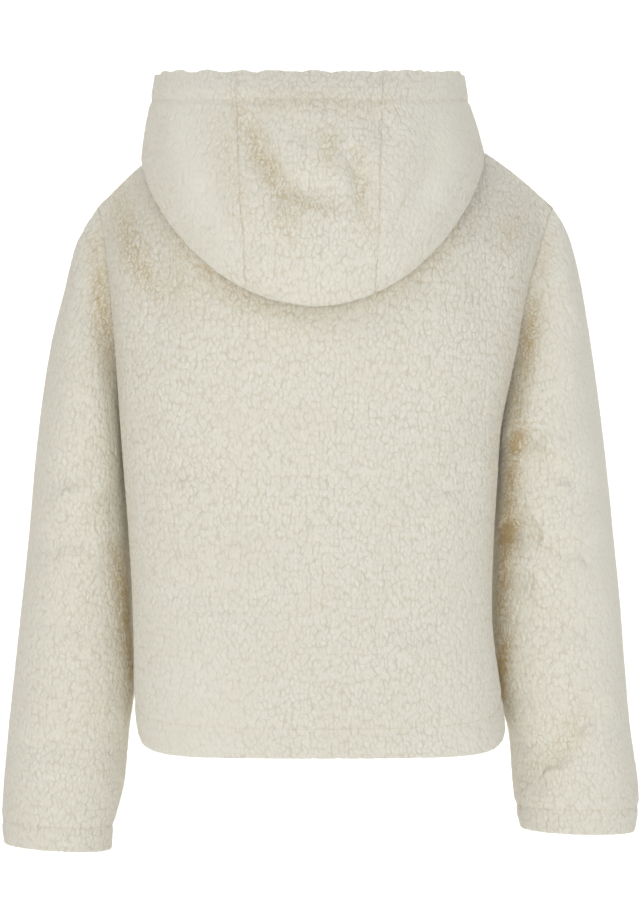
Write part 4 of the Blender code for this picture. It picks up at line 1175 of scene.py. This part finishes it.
def newTree(name, inputs, output):
    # A Geometry Nodes tree with named inputs: (tree, its inputs, its output, what adds a node).
    tree = bpy.data.node_groups.new(name, "GeometryNodeTree")
    for label, kind in inputs.items():
        tree.interface.new_socket(label, in_out="INPUT", socket_type="NodeSocket" + kind)
    tree.interface.new_socket(output, in_out="OUTPUT", socket_type="NodeSocketGeometry")
    given = tree.nodes.new("NodeGroupInput").outputs
    return tree, given, tree.nodes.new("NodeGroupOutput").inputs[output], partial(addNode, tree)


def reliefTree():
    # Presses the pile's creases into the outer face, along each point's own outward way.
    inputs = {"Cloth": "Geometry", "Pile depth": "Float"}
    tree, given, leave, add = newTree("pileRelief", inputs, "Cloth")
    own = {}
    for name in ("weave", "outward", "brushed", "relief"):
        kind = "FLOAT_VECTOR" if name in ("weave", "outward") else "FLOAT"
        own[name] = add("GeometryNodeInputNamedAttribute", {"Name": name}, data_type=kind)
    height, _ = pileHeight(add, own["weave"])
    sunk = add("Math", (height, 1.0), operation="SUBTRACT")
    raised = add("Math", (own["brushed"], pile["brushedFlat"]), operation="MULTIPLY")
    raised = add("Math", (1.0, raised), operation="SUBTRACT")
    for factor in (own["relief"], raised, given["Pile depth"]):
        sunk = add("Math", (sunk, factor), operation="MULTIPLY")
    way = add("VectorMath", {0: own["outward"], "Scale": sunk}, operation="SCALE")
    moved = add("GeometryNodeSetPosition", {"Geometry": given["Cloth"], "Offset": way})
    tree.links.new(moved, leave)
    return tree


pileLooks = {
    "lit": "E9E6DA",
    # Painted shade: the colour of the pile's creases, darker than its lit clumps
    "crease": "DCD6C4",
    "tint": "E4DFCF",
    # The tan of painted warm shade in hollows and gaps, partly the colour of the pile's roots
    "root": "C5AD7E",
    "sheen": "FFF6E6",
    "blotch": 0.055,
    "blotchMost": 0.35,
    "rootsAndShadeCreased": 0.72,
    "rootsAndShadeLeast": 0.16,
    "deepShadeShare": 0.8,
    "fibre": 0.55 * mm,
    "fibreShare": 0.30,
    "bumpDeep": 1.1 * mm,
}


def pileMaterial(name, looks):
    # Matt polyester pile. Fibre tips catch light at a low angle, so it has sheen. Its creases are
    # painted darker, as painted shade, and warmer, as painted light bounced from cream to cream.
    settings = {"Roughness": 0.96, "Specular IOR Level": 0.12, "Sheen Weight": 0.45}
    settings.update({"Sheen Roughness": 0.55, "Sheen Tint": linear(looks["sheen"])})
    made, tree, shader, add = newMaterial(name, settings)
    weave = add("UVMap", uv_map="weave")
    height, creased = pileHeight(add, weave)
    smooth = add("Attribute", output="Fac", attribute_name="brushed")
    # The mask of painted warm shade, partly crushed roots
    hollow = add("Attribute", output="Fac", attribute_name="hollow")
    clumped = add("Math", (1.0, smooth), operation="SUBTRACT")
    low = add("MapRange", (height, 0.0, 0.8, 0.0, 1.0), interpolation_type="SMOOTHSTEP")
    low = add("Math", (1.0, low), operation="SUBTRACT")
    low = add("Math", (low, clumped), operation="MULTIPLY")
    low = add("Math", (1.0, low), operation="SUBTRACT")
    blotch = add("TexNoise", {"Vector": weave, "Scale": 1 / looks["blotch"], "Detail": 2.0})
    blotch = add("MapRange", (blotch, 0.3, 0.7, 0.0, 1.0), interpolation_type="SMOOTHSTEP")
    blotch = add("Math", (blotch, looks["blotchMost"]), operation="MULTIPLY")
    # Painted warm shade, partly the crushed pile's roots: tan in the creases where the mask is set,
    # and tan all over in a deep hollow such as between sleeve and body
    rootsAndShadeShare = add("Math", (creased, 4.0), operation="POWER")
    rootsAndShadeShare = add("Math", (rootsAndShadeShare, looks["rootsAndShadeCreased"]), operation="MULTIPLY")
    rootsAndShadeShare = add("Math", (rootsAndShadeShare, looks["rootsAndShadeLeast"]), operation="ADD")
    rootsAndShadeShare = add("Math", (hollow, rootsAndShadeShare), operation="MULTIPLY")
    deepShade = add("Math", (hollow, 1.0), operation="SUBTRACT")
    deepShade = add("Math", (deepShade, 0.0), operation="MAXIMUM")
    rootsAndShadeShare = add("Math", (deepShade, looks["deepShadeShare"], rootsAndShadeShare), operation="MULTIPLY_ADD")
    # Painted shade in the pile's creases, turning to the lit colour on the clumps and where brushed
    colour = linear(looks["crease"])
    for share, look in ((low, "lit"), (blotch, "tint"), (rootsAndShadeShare, "root")):
        colour = add("Mix", {0: share, 6: colour, 7: linear(looks[look])}, data_type="RGBA")
    tree.links.new(colour, shader.inputs["Base Color"])
    fibres = add("VectorMath", (weave, (1.0, 0.45, 0.0)), operation="MULTIPLY")
    fibres = {"Vector": fibres, "Scale": 1 / looks["fibre"], "Detail": 3.0, "Roughness": 0.65}
    fibres = add("Math", (add("TexNoise", fibres), looks["fibreShare"]), operation="MULTIPLY")
    clumped = add("Math", (clumped, 0.75, 0.25), operation="MULTIPLY_ADD")
    face = add("Math", (height, clumped, fibres), operation="MULTIPLY_ADD")
    bump = add("Bump", {"Height": face, "Strength": 0.8, "Distance": looks["bumpDeep"]})
    tree.links.new(bump, shader.inputs["Normal"])
    return made


def wovenMaterial(name, settings, waves, deep):
    # A cloth whose colour is even and whose yarns are fine waves: (way, spacing, how
    # uneven, its share).
    made, tree, shader, add = newMaterial(name, settings)
    weave = add("UVMap", uv_map="weave")
    face = 0.0
    for way, spacing, uneven, share in waves:
        wave = {"Vector": weave, "Scale": 1 / spacing / 20, "Distortion": uneven}
        wave["Detail Scale"] = 3.0
        wave = add("TexWave", wave, "Fac", wave_type="BANDS", bands_direction=way)
        face = add("Math", (wave, share, face), operation="MULTIPLY_ADD")
    bump = add("Bump", {"Height": face, "Strength": 0.5, "Distance": deep})
    tree.links.new(bump, shader.inputs["Normal"])
    return made


relief = reliefTree()
sherpa = pileMaterial("sherpa_pile", pileLooks)
# The fleece's knit backing: flat wales 1.4 mm apart, matt
knitLook = {"Base Color": linear("D9CDB4"), "Roughness": 0.9, "Specular IOR Level": 0.2}
knitWaves = (("X", 1.4 * mm, 1.2, 1.0), ("Y", 1.1 * mm, 0.0, 0.5))
knit = wovenMaterial("knit_backing", knitLook, knitWaves, 0.3 * mm)


def settle(made, tree, inputs):
    # Runs a node tree on a piece and leaves a plain mesh.
    step = made.modifiers.new("build", "NODES")
    step.node_group = tree
    for socket in tree.interface.items_tree:
        if socket.item_type == "SOCKET" and socket.name in inputs:
            step[socket.identifier] = inputs[socket.name]
    bpy.context.view_layer.update()
    graph = bpy.context.evaluated_depsgraph_get()
    mesh = bpy.data.meshes.new_from_object(made.evaluated_get(graph), depsgraph=graph)
    made.modifiers.remove(step)
    old = made.data
    made.data = mesh
    mesh.name = made.name
    if old.users == 0:
        bpy.data.meshes.remove(old)


def dropValues(made, names):
    # Removes attributes that only a node tree needed.
    for name in names:
        found = made.data.attributes.get(name)
        if found:
            made.data.attributes.remove(found)


def finishPiece(made, node=None, body="jacket"):
    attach(made, body)
    if node:
        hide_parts(node)


# Each piece as it is cut, in metres: (its cloth, its node, size, area, what it is sewn to)
for made, node, flat, area, touching in (
    (backCloth, "back_panel", (0.52, 0.68), 0.29, ["front_left", "front_right", "hood_centre"]),
    (leftCloth, "front_left", (0.25, 0.66), 0.125, ["back_panel", "zip_tape_left"]),
    (rightCloth, "front_right", (0.26, 0.66), 0.126, ["back_panel", "zip_tape_right"]),
    (leftSleeveCloth, "sleeve_left", (0.38, 0.65), 0.181, ["back_panel", "front_left"]),
    (rightSleeveCloth, "sleeve_right", (0.40, 0.64), 0.188, ["back_panel", "front_right"]),
    (hoodLeftCloth, "hood_left", (0.42, 0.30), 0.074, ["back_panel", "front_left"]),
    (hoodCentreCloth, "hood_centre", (0.14, 0.51), 0.055, ["back_panel"]),
    (hoodRightCloth, "hood_right", (0.42, 0.30), 0.074, ["back_panel", "front_right"]),
):
    for material in (sherpa, knit):
        made.data.materials.append(material)
    settle(made, relief, {"Pile depth": cloth["pileDeep"]})
    dropValues(made, ("relief", "outward"))
    finishPiece(made, node)
print("pile made")

# The front zip: woven polyester tapes, acetal teeth, zinc box, stops, slider and pull tab
zipForm = {
    "depth": 6.55 * mm,
    "endGap": 1.5 * mm,
    "boxTall": 11 * mm,
    "sliderLevel": 8.3,
    "sliderHalf": 6 * mm,
    "pitch": 1.27 * mm,
    "partedBy": 1.25 * mm,
    "partedOver": 9 * mm,
    "boxGap": 1.0 * mm,
    "stopGap": 2.2 * mm,
    "slidIn": 1.5 * mm,
    "slidOut": 0.8 * mm,
    "rows": 210,
}


def zipFrame(level):
    # (point on the tape's middle, outward, up along the zip) at the centre front
    point = bodySmooth(180.0, level)
    step = slopeStep["row"]
    ahead = bodySmooth(180.0, level + step) - bodySmooth(180.0, level - step)
    up = unit(ahead * (0, 1, 1))
    out = np.array([0.0, -up[2], up[1]])
    out = out if out[1] < 0 else -out
    return point * (0, 1, 1) - out * zipForm["depth"], out, up


zipLevels = np.linspace(0, cut["bodyTop"], 721)
zipRun = runAlong(bodySmooth(180.0 + 0 * zipLevels, zipLevels), 0)
zipEnds = (zipForm["endGap"], zipRun[-1] - zipForm["endGap"])
sliderRun = float(np.interp(zipForm["sliderLevel"], zipLevels, zipRun))


def frameAtRun(run):
    return zipFrame(float(np.interp(run, zipRun, zipLevels)))


def closedMesh(name, shape, materials, smooth=30):
    # A finished object from a closed bmesh, with its faces turned outward.
    shape.normal_update()
    bmesh.ops.recalc_face_normals(shape, faces=shape.faces)
    mesh = bpy.data.meshes.new(name)
    shape.to_mesh(mesh)
    shape.free()
    for material in materials:
        mesh.materials.append(material)
    mesh.shade_smooth()
    mesh.set_sharp_from_angle(angle=math.radians(smooth))
    made = bpy.data.objects.new(name, mesh)
    bpy.context.scene.collection.objects.link(made)
    return made


# Tape: 0.8 mm twill with a corded inner edge that the teeth are moulded on
tapeProfile = (
    (1.9, 0.0), (2.1, 0.5), (2.6, 0.7), (3.2, 0.5),
    (3.7, 0.4), (9.0, 0.4), (14.6, 0.4), (15.0, 0.2),
    (15.0, -0.2), (14.6, -0.4), (9.0, -0.4), (3.7, -0.4),
    (3.2, -0.5), (2.6, -0.7), (2.1, -0.5),
)


def makeTape(name, side):
    runs = np.linspace(*zipEnds, zipForm["rows"])
    profile = np.array(tapeProfile + tapeProfile[:1]) * mm
    girth = runAlong(profile, 0)
    shape = bmesh.new()
    weave = shape.loops.layers.uv.new("weave")
    rings = []
    for run in runs:
        point, out, _ = frameAtRun(run)
        rings.append([shape.verts.new(point + (side * x, 0, 0) + out * h) for x, h in profile[:-1]])

    def addFace(corners, acrosses, downs):
        for loop, across, down in zip(shape.faces.new(corners).loops, acrosses, downs):
            loop[weave].uv = (across, down)

    count = len(tapeProfile)
    for low, high, start, end in zip(rings[:-1], rings[1:], runs[:-1], runs[1:]):
        for place in range(count):
            follow = (place + 1) % count
            near, far = girth[place], girth[place + 1]
            corners = (low[place], low[follow], high[follow], high[place])
            addFace(corners, (near, far, far, near), (start, start, end, end))
    addFace(rings[0], girth, [runs[0]] * count)
    addFace(rings[-1], girth, [runs[-1]] * count)
    return closedMesh(name, shape, [tapeCloth], 50)


def castMaterial(name, colour, rough, metal, grain, deep):
    # One colour with a fine grain, which breaks up its highlights as on a real part.
    settings = {"Base Color": linear(colour), "Metallic": metal}
    made, tree, shader, add = newMaterial(name, settings)
    place = add("TexCoord", output="Object")
    found = add("TexNoise", {"Vector": place, "Scale": 1 / grain, "Detail": 3.0, "Roughness": 0.6})
    polish = (found, 0.25, 0.75, rough - 0.07, rough + 0.09)
    polish = add("MapRange", polish, interpolation_type="SMOOTHSTEP")
    tree.links.new(polish, shader.inputs["Roughness"])
    bump = add("Bump", {"Height": found, "Strength": 0.4, "Distance": deep})
    tree.links.new(bump, shader.inputs["Normal"])
    return made


# Woven polyester: fine diagonal ribs 0.7 mm apart, with a slight satin light on them
tapeLook = {"Base Color": linear("D6CDB8"), "Roughness": 0.72, "Specular IOR Level": 0.35}
tapeLook["Sheen Weight"] = 0.15
tapeWaves = (("DIAGONAL", 0.7 * mm, 0.4, 1.0),)
tapeCloth = wovenMaterial("zip_tape_twill", tapeLook, tapeWaves, 0.15 * mm)
# Acetal: dense, slightly waxy plastic with soft highlights
acetal = castMaterial("acetal_teeth", "DED6C4", 0.36, 0.0, 0.9 * mm, 0.03 * mm)
# Zinc casting with a satin nickel plate: grey-white with small soft reflections
zinc = castMaterial("zinc_satin_plate", "A3A19B", 0.36, 1.0, 0.6 * mm, 0.02 * mm)
# Polyester thread, matt, in the fleece's own cream
thread = castMaterial("polyester_thread", "DAD1BC", 0.75, 0.0, 0.4 * mm, 0.04 * mm)


def instanceTree():
    # A copy of a piece on each point, by the point's own two directions.
    inputs = {"Points": "Geometry", "Piece": "Object", "Material": "Material"}
    inputs["Unevenness"] = "Float"
    tree, given, leave, add = newTree("placeCopies", inputs, "Copies")
    turn = None
    for axis, pivot, name in (("Z", "AUTO", "upright"), ("X", "Z", "ahead")):
        found = add("GeometryNodeInputNamedAttribute", {"Name": name}, data_type="FLOAT_VECTOR")
        way = {"Vector": found}
        if turn is not None:
            way["Rotation"] = turn
        turn = add("FunctionNodeAlignRotationToVector", way, axis=axis, pivot_axis=pivot)
    least = add("Math", (1.0, given["Unevenness"]), operation="SUBTRACT")
    size = add("FunctionNodeRandomValue", {2: least, 3: 1.0, "Seed": 7}, data_type="FLOAT")
    piece = add("GeometryNodeObjectInfo", {"Object": given["Piece"]}, "Geometry")
    spread = {"Points": given["Points"], "Instance": piece, "Rotation": turn, "Scale": size}
    real = add("GeometryNodeRealizeInstances", (add("GeometryNodeInstanceOnPoints", spread),))
    painted = add("GeometryNodeSetMaterial", {"Geometry": real, "Material": given["Material"]})
    tree.links.new(painted, leave)
    return tree


copies = instanceTree()


def placeCopies(name, piece, spots, aheads, uprights, material, uneven):
    mesh = bpy.data.meshes.new(name)
    mesh.from_pydata([tuple(spot) for spot in spots], [], [])
    for label, values in (("ahead", aheads), ("upright", uprights)):
        found = mesh.attributes.new(label, "FLOAT_VECTOR", "POINT")
        found.data.foreach_set("vector", np.array(values, np.float32).ravel())
    made = bpy.data.objects.new(name, mesh)
    bpy.context.scene.collection.objects.link(made)
    settle(made, copies, {"Piece": piece, "Material": material, "Unevenness": uneven})
    dropValues(made, ("ahead", "upright"))
    return made


def slab(outline, low, high, soft, sideways=False):
    # An outline in mm pulled from one height to another, with its rims rounded.
    shape = bmesh.new()
    under = [shape.verts.new((x, y, low)) for x, y in outline]
    over = [shape.verts.new((x, y, high)) for x, y in outline]
    shape.faces.new(under[::-1])
    shape.faces.new(over)
    for place in range(len(outline)):
        follow = (place + 1) % len(outline)
        shape.faces.new((under[place], under[follow], over[follow], over[place]))
    rims = [edge for edge in shape.edges if edge.verts[0].co.z == edge.verts[1].co.z]
    bmesh.ops.bevel(shape, geom=rims, offset=soft, segments=2, profile=0.5, affect="EDGES")
    if sideways:
        for spot in shape.verts:
            spot.co = spot.co.zxy
    return shape


def pierced(outline, opening, low, high, soft):
    # The same with an opening, whose points match the outline's.
    shape = bmesh.new()
    loops = [
        [shape.verts.new((x, y, height)) for x, y in line]
        for line, height in ((outline, low), (outline, high), (opening, high), (opening, low))
    ]
    for place in range(len(outline)):
        follow = (place + 1) % len(outline)
        for a, b in zip(loops, loops[1:] + loops[:1]):
            shape.faces.new((a[place], a[follow], b[follow], b[place]))
    rims = [edge for edge in shape.edges if any(set(edge.verts) <= set(loop) for loop in loops)]
    bmesh.ops.bevel(shape, geom=rims, offset=soft, segments=2, profile=0.5, affect="EDGES")
    return shape


def rounded(x0, x1, y0, y1, radius, steps=4):
    # A rectangle with round corners, from its lower right one.
    line = []
    for cx, cy, start in (
        (x1 - radius, y0 + radius, -90),
        (x1 - radius, y1 - radius, 0),
        (x0 + radius, y1 - radius, 90),
        (x0 + radius, y0 + radius, 180),
    ):
        for step in range(steps + 1):
            angle = math.radians(start + 90 * step / steps)
            line.append((cx + radius * math.cos(angle), cy + radius * math.sin(angle)))
    return line


def assemble(name, shapes, frame, material):
    # Puts shapes in mm on the zip: x across, y up along it, z outward.
    point, out, up = frame
    whole = bmesh.new()
    for shape in shapes:
        mesh = bpy.data.meshes.new("part")
        bmesh.ops.recalc_face_normals(shape, faces=shape.faces)
        shape.to_mesh(mesh)
        shape.free()
        whole.from_mesh(mesh)
        bpy.data.meshes.remove(mesh)
    for spot in whole.verts:
        x, y, z = np.array(spot.co) * mm
        spot.co = point + (x, 0, 0) + up * y + out * z
    return closedMesh(name, whole, [material])


for side, name in ((1, "left"), (-1, "right")):
    tape = makeTape("zip_tape_" + name + "_twill", side)
    finishPiece(tape, "zip_tape_" + name)

# Teeth, moulded on the tapes' cords: closed below the slider, parted above it
toothHalf = ((-0.85, 0.32), (-0.40, 0.60), (0.20, 0.54), (0.62, 0.38), (1.20, 0.62), (3.40, 0.74))
toothLine = toothHalf + tuple((x, -y) for x, y in toothHalf[::-1])
tooth = slab(tuple((y, x) for x, y in toothLine), -0.95, 0.95, 0.16)
for spot in tooth.verts:
    along, across, height = spot.co
    spot.co = (across * mm, height * mm, along * mm)
toothPiece = closedMesh("tooth", tooth, [], 40)
chainLow = zipEnds[0] + zipForm["boxTall"] + zipForm["boxGap"]
chainHigh = sliderRun - zipForm["sliderHalf"] + zipForm["slidIn"]
chainAgain = sliderRun + zipForm["sliderHalf"] - zipForm["slidOut"]
stopRun = zipEnds[1] - zipForm["stopGap"]
spots, aheads, uprights = [], [], []
side = 1
for run in np.arange(chainLow, stopRun - zipForm["stopGap"], zipForm["pitch"]):
    side = -side
    if chainHigh < run < chainAgain:
        continue
    point, _, up = frameAtRun(run)
    apart = zipForm["partedBy"] * float(ease((run - sliderRun) / zipForm["partedOver"]))
    spots.append(point + (side * apart, 0, 0))
    aheads.append((side, 0, 0))
    uprights.append(up)
chain = placeCopies("zip_chain_teeth", toothPiece, spots, aheads, uprights, acetal, 0.0)
chain.data.shade_smooth()
chain.data.set_sharp_from_angle(angle=math.radians(40))
finishPiece(chain, "zip_chain")
bpy.data.objects.remove(toothPiece, do_unlink=True)

# The box at the bottom that holds the pin, and the two stops at the top
boxLine = rounded(-2.5, 2.5, 0, 11, 0.7)
boxFace = pierced(boxLine, rounded(-1.6, 1.6, 1.4, 9.2, 0.6), 1.35, 1.8, 0.12)
boxBody = slab(boxLine, -1.8, 1.45, 0.3)
pin = slab(rounded(-1.5, -0.5, 10.5, 13.0, 0.3), -0.7, 0.7, 0.2)
box = assemble("zip_box_cast", [boxBody, boxFace, pin], frameAtRun(zipEnds[0]), zinc)
finishPiece(box, "zip_box")
stopShapes = []
for side in (-1, 1):
    near, far = sorted((side * 1.9, side * 4.1))
    stopShapes.append(slab(rounded(near, far, -1.6, 1.6, 0.5), -1.3, 1.3, 0.35))
stops = assemble("zip_top_stops", stopShapes, frameAtRun(stopRun), zinc)
finishPiece(stops)

# The slider: two plates with turned rims, the wedge between them and the bridge
plateHalf = (
    (0.0, -6.0), (3.0, -6.0), (3.8, -5.3), (4.0, 0.0), (4.6, 2.8),
    (4.6, 4.7), (4.0, 5.7), (2.6, 6.0), (1.1, 5.5), (0.0, 5.2),
)
plateLine = plateHalf + tuple((-x, y) for x, y in plateHalf[-2:0:-1])
rimHalf = (
    (3.5, -5.2), (4.0, -5.2), (4.2, 0.0), (4.6, 2.9),
    (4.6, 4.6), (4.05, 4.9), (4.05, 3.0), (3.6, 0.0),
)
wedge = ((-1.2, 5.0), (-0.5, 1.6), (0.0, 0.8), (0.5, 1.6), (1.2, 5.0))


def quarter(x, y, radius, start, steps):
    # A quarter turn clockwise round (x, y), from an angle in degrees.
    angles = np.radians(np.linspace(start, start - 90, steps))
    return [(x + radius * math.cos(a), y + radius * math.sin(a)) for a in angles]


arch = [(-3.6, 1.8), *quarter(-2.4, 3.9, 1.2, 180, 6), *quarter(2.4, 3.9, 1.2, 90, 6)]
arch += [(3.6, 1.8), (2.4, 1.8), *quarter(1.8, 3.6, 0.6, 90, 5)[::-1]]
arch += [*quarter(-1.8, 3.6, 0.6, 180, 5)[::-1], (-2.4, 1.8)]
sliderShapes = [
    slab(plateLine, 0.8, 2.0, 0.3),
    slab(plateLine, -2.0, -0.8, 0.3),
    slab(wedge, -0.9, 0.9, 0.1),
    slab(arch, -0.9, 0.9, 0.2, sideways=True),
]
for side in (-1, 1):
    for low, high in ((0.45, 0.95), (-0.95, -0.45)):
        sliderShapes.append(slab([(side * x, y) for x, y in rimHalf], low, high, 0.12))
slider = assemble("zip_slider_cast", sliderShapes, frameAtRun(sliderRun), zinc)
finishPiece(slider, "zip_slider")

# The pull tab, hanging from the bridge by its own bar
point, out, up = frameAtRun(sliderRun)
tabOut = rounded(-3.4, 3.4, -26.0, 0.6, 0.6)
tabRing = pierced(tabOut, rounded(-1.95, 1.95, -4.7, -0.6, 0.5), -0.6, 0.6, 0.22)
gripAt = (-23.6, -21.8, -20.0, -18.2)
grips = [slab(rounded(-2.2, 2.2, y, y + 0.8, 0.35), -0.72, 0.72, 0.1) for y in gripAt]
tab = assemble("zip_pull_tab_cast", [tabRing, *grips], (point + out * 3.1 * mm, out, up), zinc)
finishPiece(tab, "zip_pull_tab", "pull_tab")
print("zip made")

# Lockstitches, sunk in their grooves: 2.6 mm of thread in every 3.3 mm
stitch = {
    "long": 2.6,
    "thick": 0.24,
    "low": 0.05,
    "endLow": 0.45,
    "every": 3.3 * mm,
    "start": 2 * mm,
    "sunk": 0.10 * mm,
    "uneven": 0.12,
}


def stitchShape():
    # Five-sided, pointed at both ends, where the thread goes into the cloth.
    shape = bmesh.new()
    half, thick = stitch["long"] / 2, stitch["thick"]
    angles = np.radians(np.arange(5) * 72)
    rings = []
    for x in (-0.7 * half, 0.7 * half):
        ring = [(x, thick * math.cos(a), thick * math.sin(a) - stitch["low"]) for a in angles]
        rings.append([shape.verts.new(np.array(spot) * mm) for spot in ring])
    ends = [shape.verts.new(np.array((x, 0, -stitch["endLow"])) * mm) for x in (-half, half)]
    for place in range(5):
        follow = (place + 1) % 5
        shape.faces.new((rings[0][place], rings[0][follow], rings[1][follow], rings[1][place]))
        shape.faces.new((rings[0][follow], rings[0][place], ends[0]))
        shape.faces.new((rings[1][place], rings[1][follow], ends[1]))
    return closedMesh("stitch", shape, [], 80)


def pointAlong(at, run, line):
    return np.array([np.interp(at, run, line[:, axis]) for axis in range(3)])


def stitchLine(piece, column=None):
    # Points and normals along a piece's hem stitch, or down a front at the zip stitch.
    fine, outward, turned = piece["made"]
    if column is None:
        return fine[turned - 1], outward[-1] * 0 + piece["stitchNormal"]
    grid, lean = fine[turned:], outward[turned:]
    if column < 0:
        grid, lean = grid[:, ::-1], lean[:, ::-1]
    run = runAlong(grid, 1)
    line = np.array([pointAlong(abs(column), *row) for row in zip(run, grid)])
    way = np.array([pointAlong(abs(column), *row) for row in zip(run, lean)])
    return line, unit(way)


spots, aheads, uprights = [], [], []
hemmed = (backPanel, leftFront, rightFront, leftSleeve, rightSleeve)
seams = [stitchLine(piece) for piece in (*hemmed, hoodLeft, hoodCentre, hoodRight)]
for piece, side in ((leftFront, -1), (rightFront, 1)):
    seams.append(stitchLine(piece, side * frontPanels["topstitch"]))
for line, way in seams:
    run = runAlong(line, 0)
    for at in np.arange(stitch["start"], run[-1] - stitch["start"], stitch["every"]):
        low, mid, high = (pointAlong(at + shift, run, line) for shift in (-mm, 0, mm))
        upright = unit(pointAlong(at, run, way))
        spots.append(mid - upright * stitch["sunk"])
        aheads.append(unit(high - low))
        uprights.append(upright)
stitchPiece = stitchShape()
uneven = stitch["uneven"]
stitches = placeCopies("seam_stitches", stitchPiece, spots, aheads, uprights, thread, uneven)
stitches.data.shade_smooth()
finishPiece(stitches)
bpy.data.objects.remove(stitchPiece, do_unlink=True)
print("stitches made")
# A pale seamless sweep, well below the jacket, with soft light from the camera's left
studio = {
    "floor": -1.05,
    "back": -2.6,
    "bend": 1.2,
    "halfWide": 7.0,
    "front": 3.4,
    "tall": 5.0,
    "paper": "F7F6F3",
    "air": 0.36,
}


def makeSweep():
    angle = np.linspace(0, np.pi / 2, 25)
    bend = studio["bend"]
    back, floor = studio["back"], studio["floor"]
    line = [(studio["front"], floor)]
    line += [(back - bend * math.sin(a), floor + bend - bend * math.cos(a)) for a in angle]
    line.append((back - bend, floor + studio["tall"]))
    wide = studio["halfWide"]
    points = [(x, y, z) for y, z in line for x in (-wide, wide)]
    faces = [(2 * n, 2 * n + 1, 2 * n + 3, 2 * n + 2) for n in range(len(line) - 1)]
    mesh = bpy.data.meshes.new("sweep")
    mesh.from_pydata(points, [], faces)
    mesh.shade_smooth()
    made = bpy.data.objects.new("sweep", mesh)
    bpy.context.scene.collection.objects.link(made)
    # Matt background paper
    look = {"Base Color": linear(studio["paper"]), "Roughness": 0.95, "Specular IOR Level": 0.1}
    mesh.materials.append(newMaterial("backdrop_paper", look)[0])


def addLight(name, place, target, size, power, colour):
    lamp = bpy.data.lights.new(name, "AREA")
    lamp.shape = "RECTANGLE"
    lamp.size, lamp.size_y = size
    lamp.energy = power
    lamp.color = linear(colour)[:3]
    made = bpy.data.objects.new(name, lamp)
    made.location = place
    way = np.array(target, float) - np.array(place, float)
    made.rotation_euler = Vector(way).to_track_quat("-Z", "Y").to_euler()
    bpy.context.scene.collection.objects.link(made)


makeSweep()
addLight("key", (2.2, 2.6, 1.5), (0, 0, -0.35), (1.6, 1.6), 17.5, "FFFDF8")
addLight("fill", (-2.6, 2.4, 0.4), (0, 0, -0.35), (2.0, 2.0), 16, "F6F9FF")
addLight("camera side", (0.3, 3.6, -0.45), (0, 0, -0.35), (3.0, 1.15), 45, "FFFFFF")
addLight("top", (0.0, -0.3, 2.4), (0, 0, -0.3), (2.0, 1.6), 10, "FFFFFF")
addLight("frontKey", (-1.8, -2.4, 1.4), (0, 0, -0.35), (1.8, 1.8), 14, "FFFDF8")
addLight("backdrop", (0.0, -1.9, 2.6), (0, -3.6, 0.2), (4.0, 1.5), 110, "FFFFFF")

# The air lights the jacket softly, and looks as pale as the paper
world = bpy.data.worlds.new("studio_air")
world.use_nodes = True
air = world.node_tree
air.nodes["Background"].inputs["Color"].default_value = linear("F4F6FA")
air.nodes["Background"].inputs["Strength"].default_value = studio["air"]
pale = addNode(air, "Background", {"Color": linear(studio["paper"]), "Strength": 1.0})
seen = addNode(air, "LightPath", output="Is Camera Ray")
both = addNode(air, "MixShader", (seen, air.nodes["Background"].outputs[0], pale))
air.links.new(both, air.nodes["World Output"].inputs["Surface"])
bpy.context.scene.world = world
bpy.context.scene.view_settings.view_transform = "Standard"

# The photo's view: straight at the back, level, 0.95 mm to a pixel at the jacket
viewAt = {"place": (-0.0038, 3.0, -0.320), "tall": 0.8778}
lens = bpy.data.cameras.new("camera")
lens.sensor_fit = "VERTICAL"
lens.sensor_height = 24
lens.lens = 24 * viewAt["place"][1] / viewAt["tall"]
lens.clip_end = 60
lens.dof.use_dof = False
camera = bpy.data.objects.new("camera", lens)
camera.location = viewAt["place"]
camera.rotation_euler = (math.radians(90), 0, math.radians(180))
bpy.context.scene.collection.objects.link(camera)
bpy.context.scene.camera = camera
print("stage made")
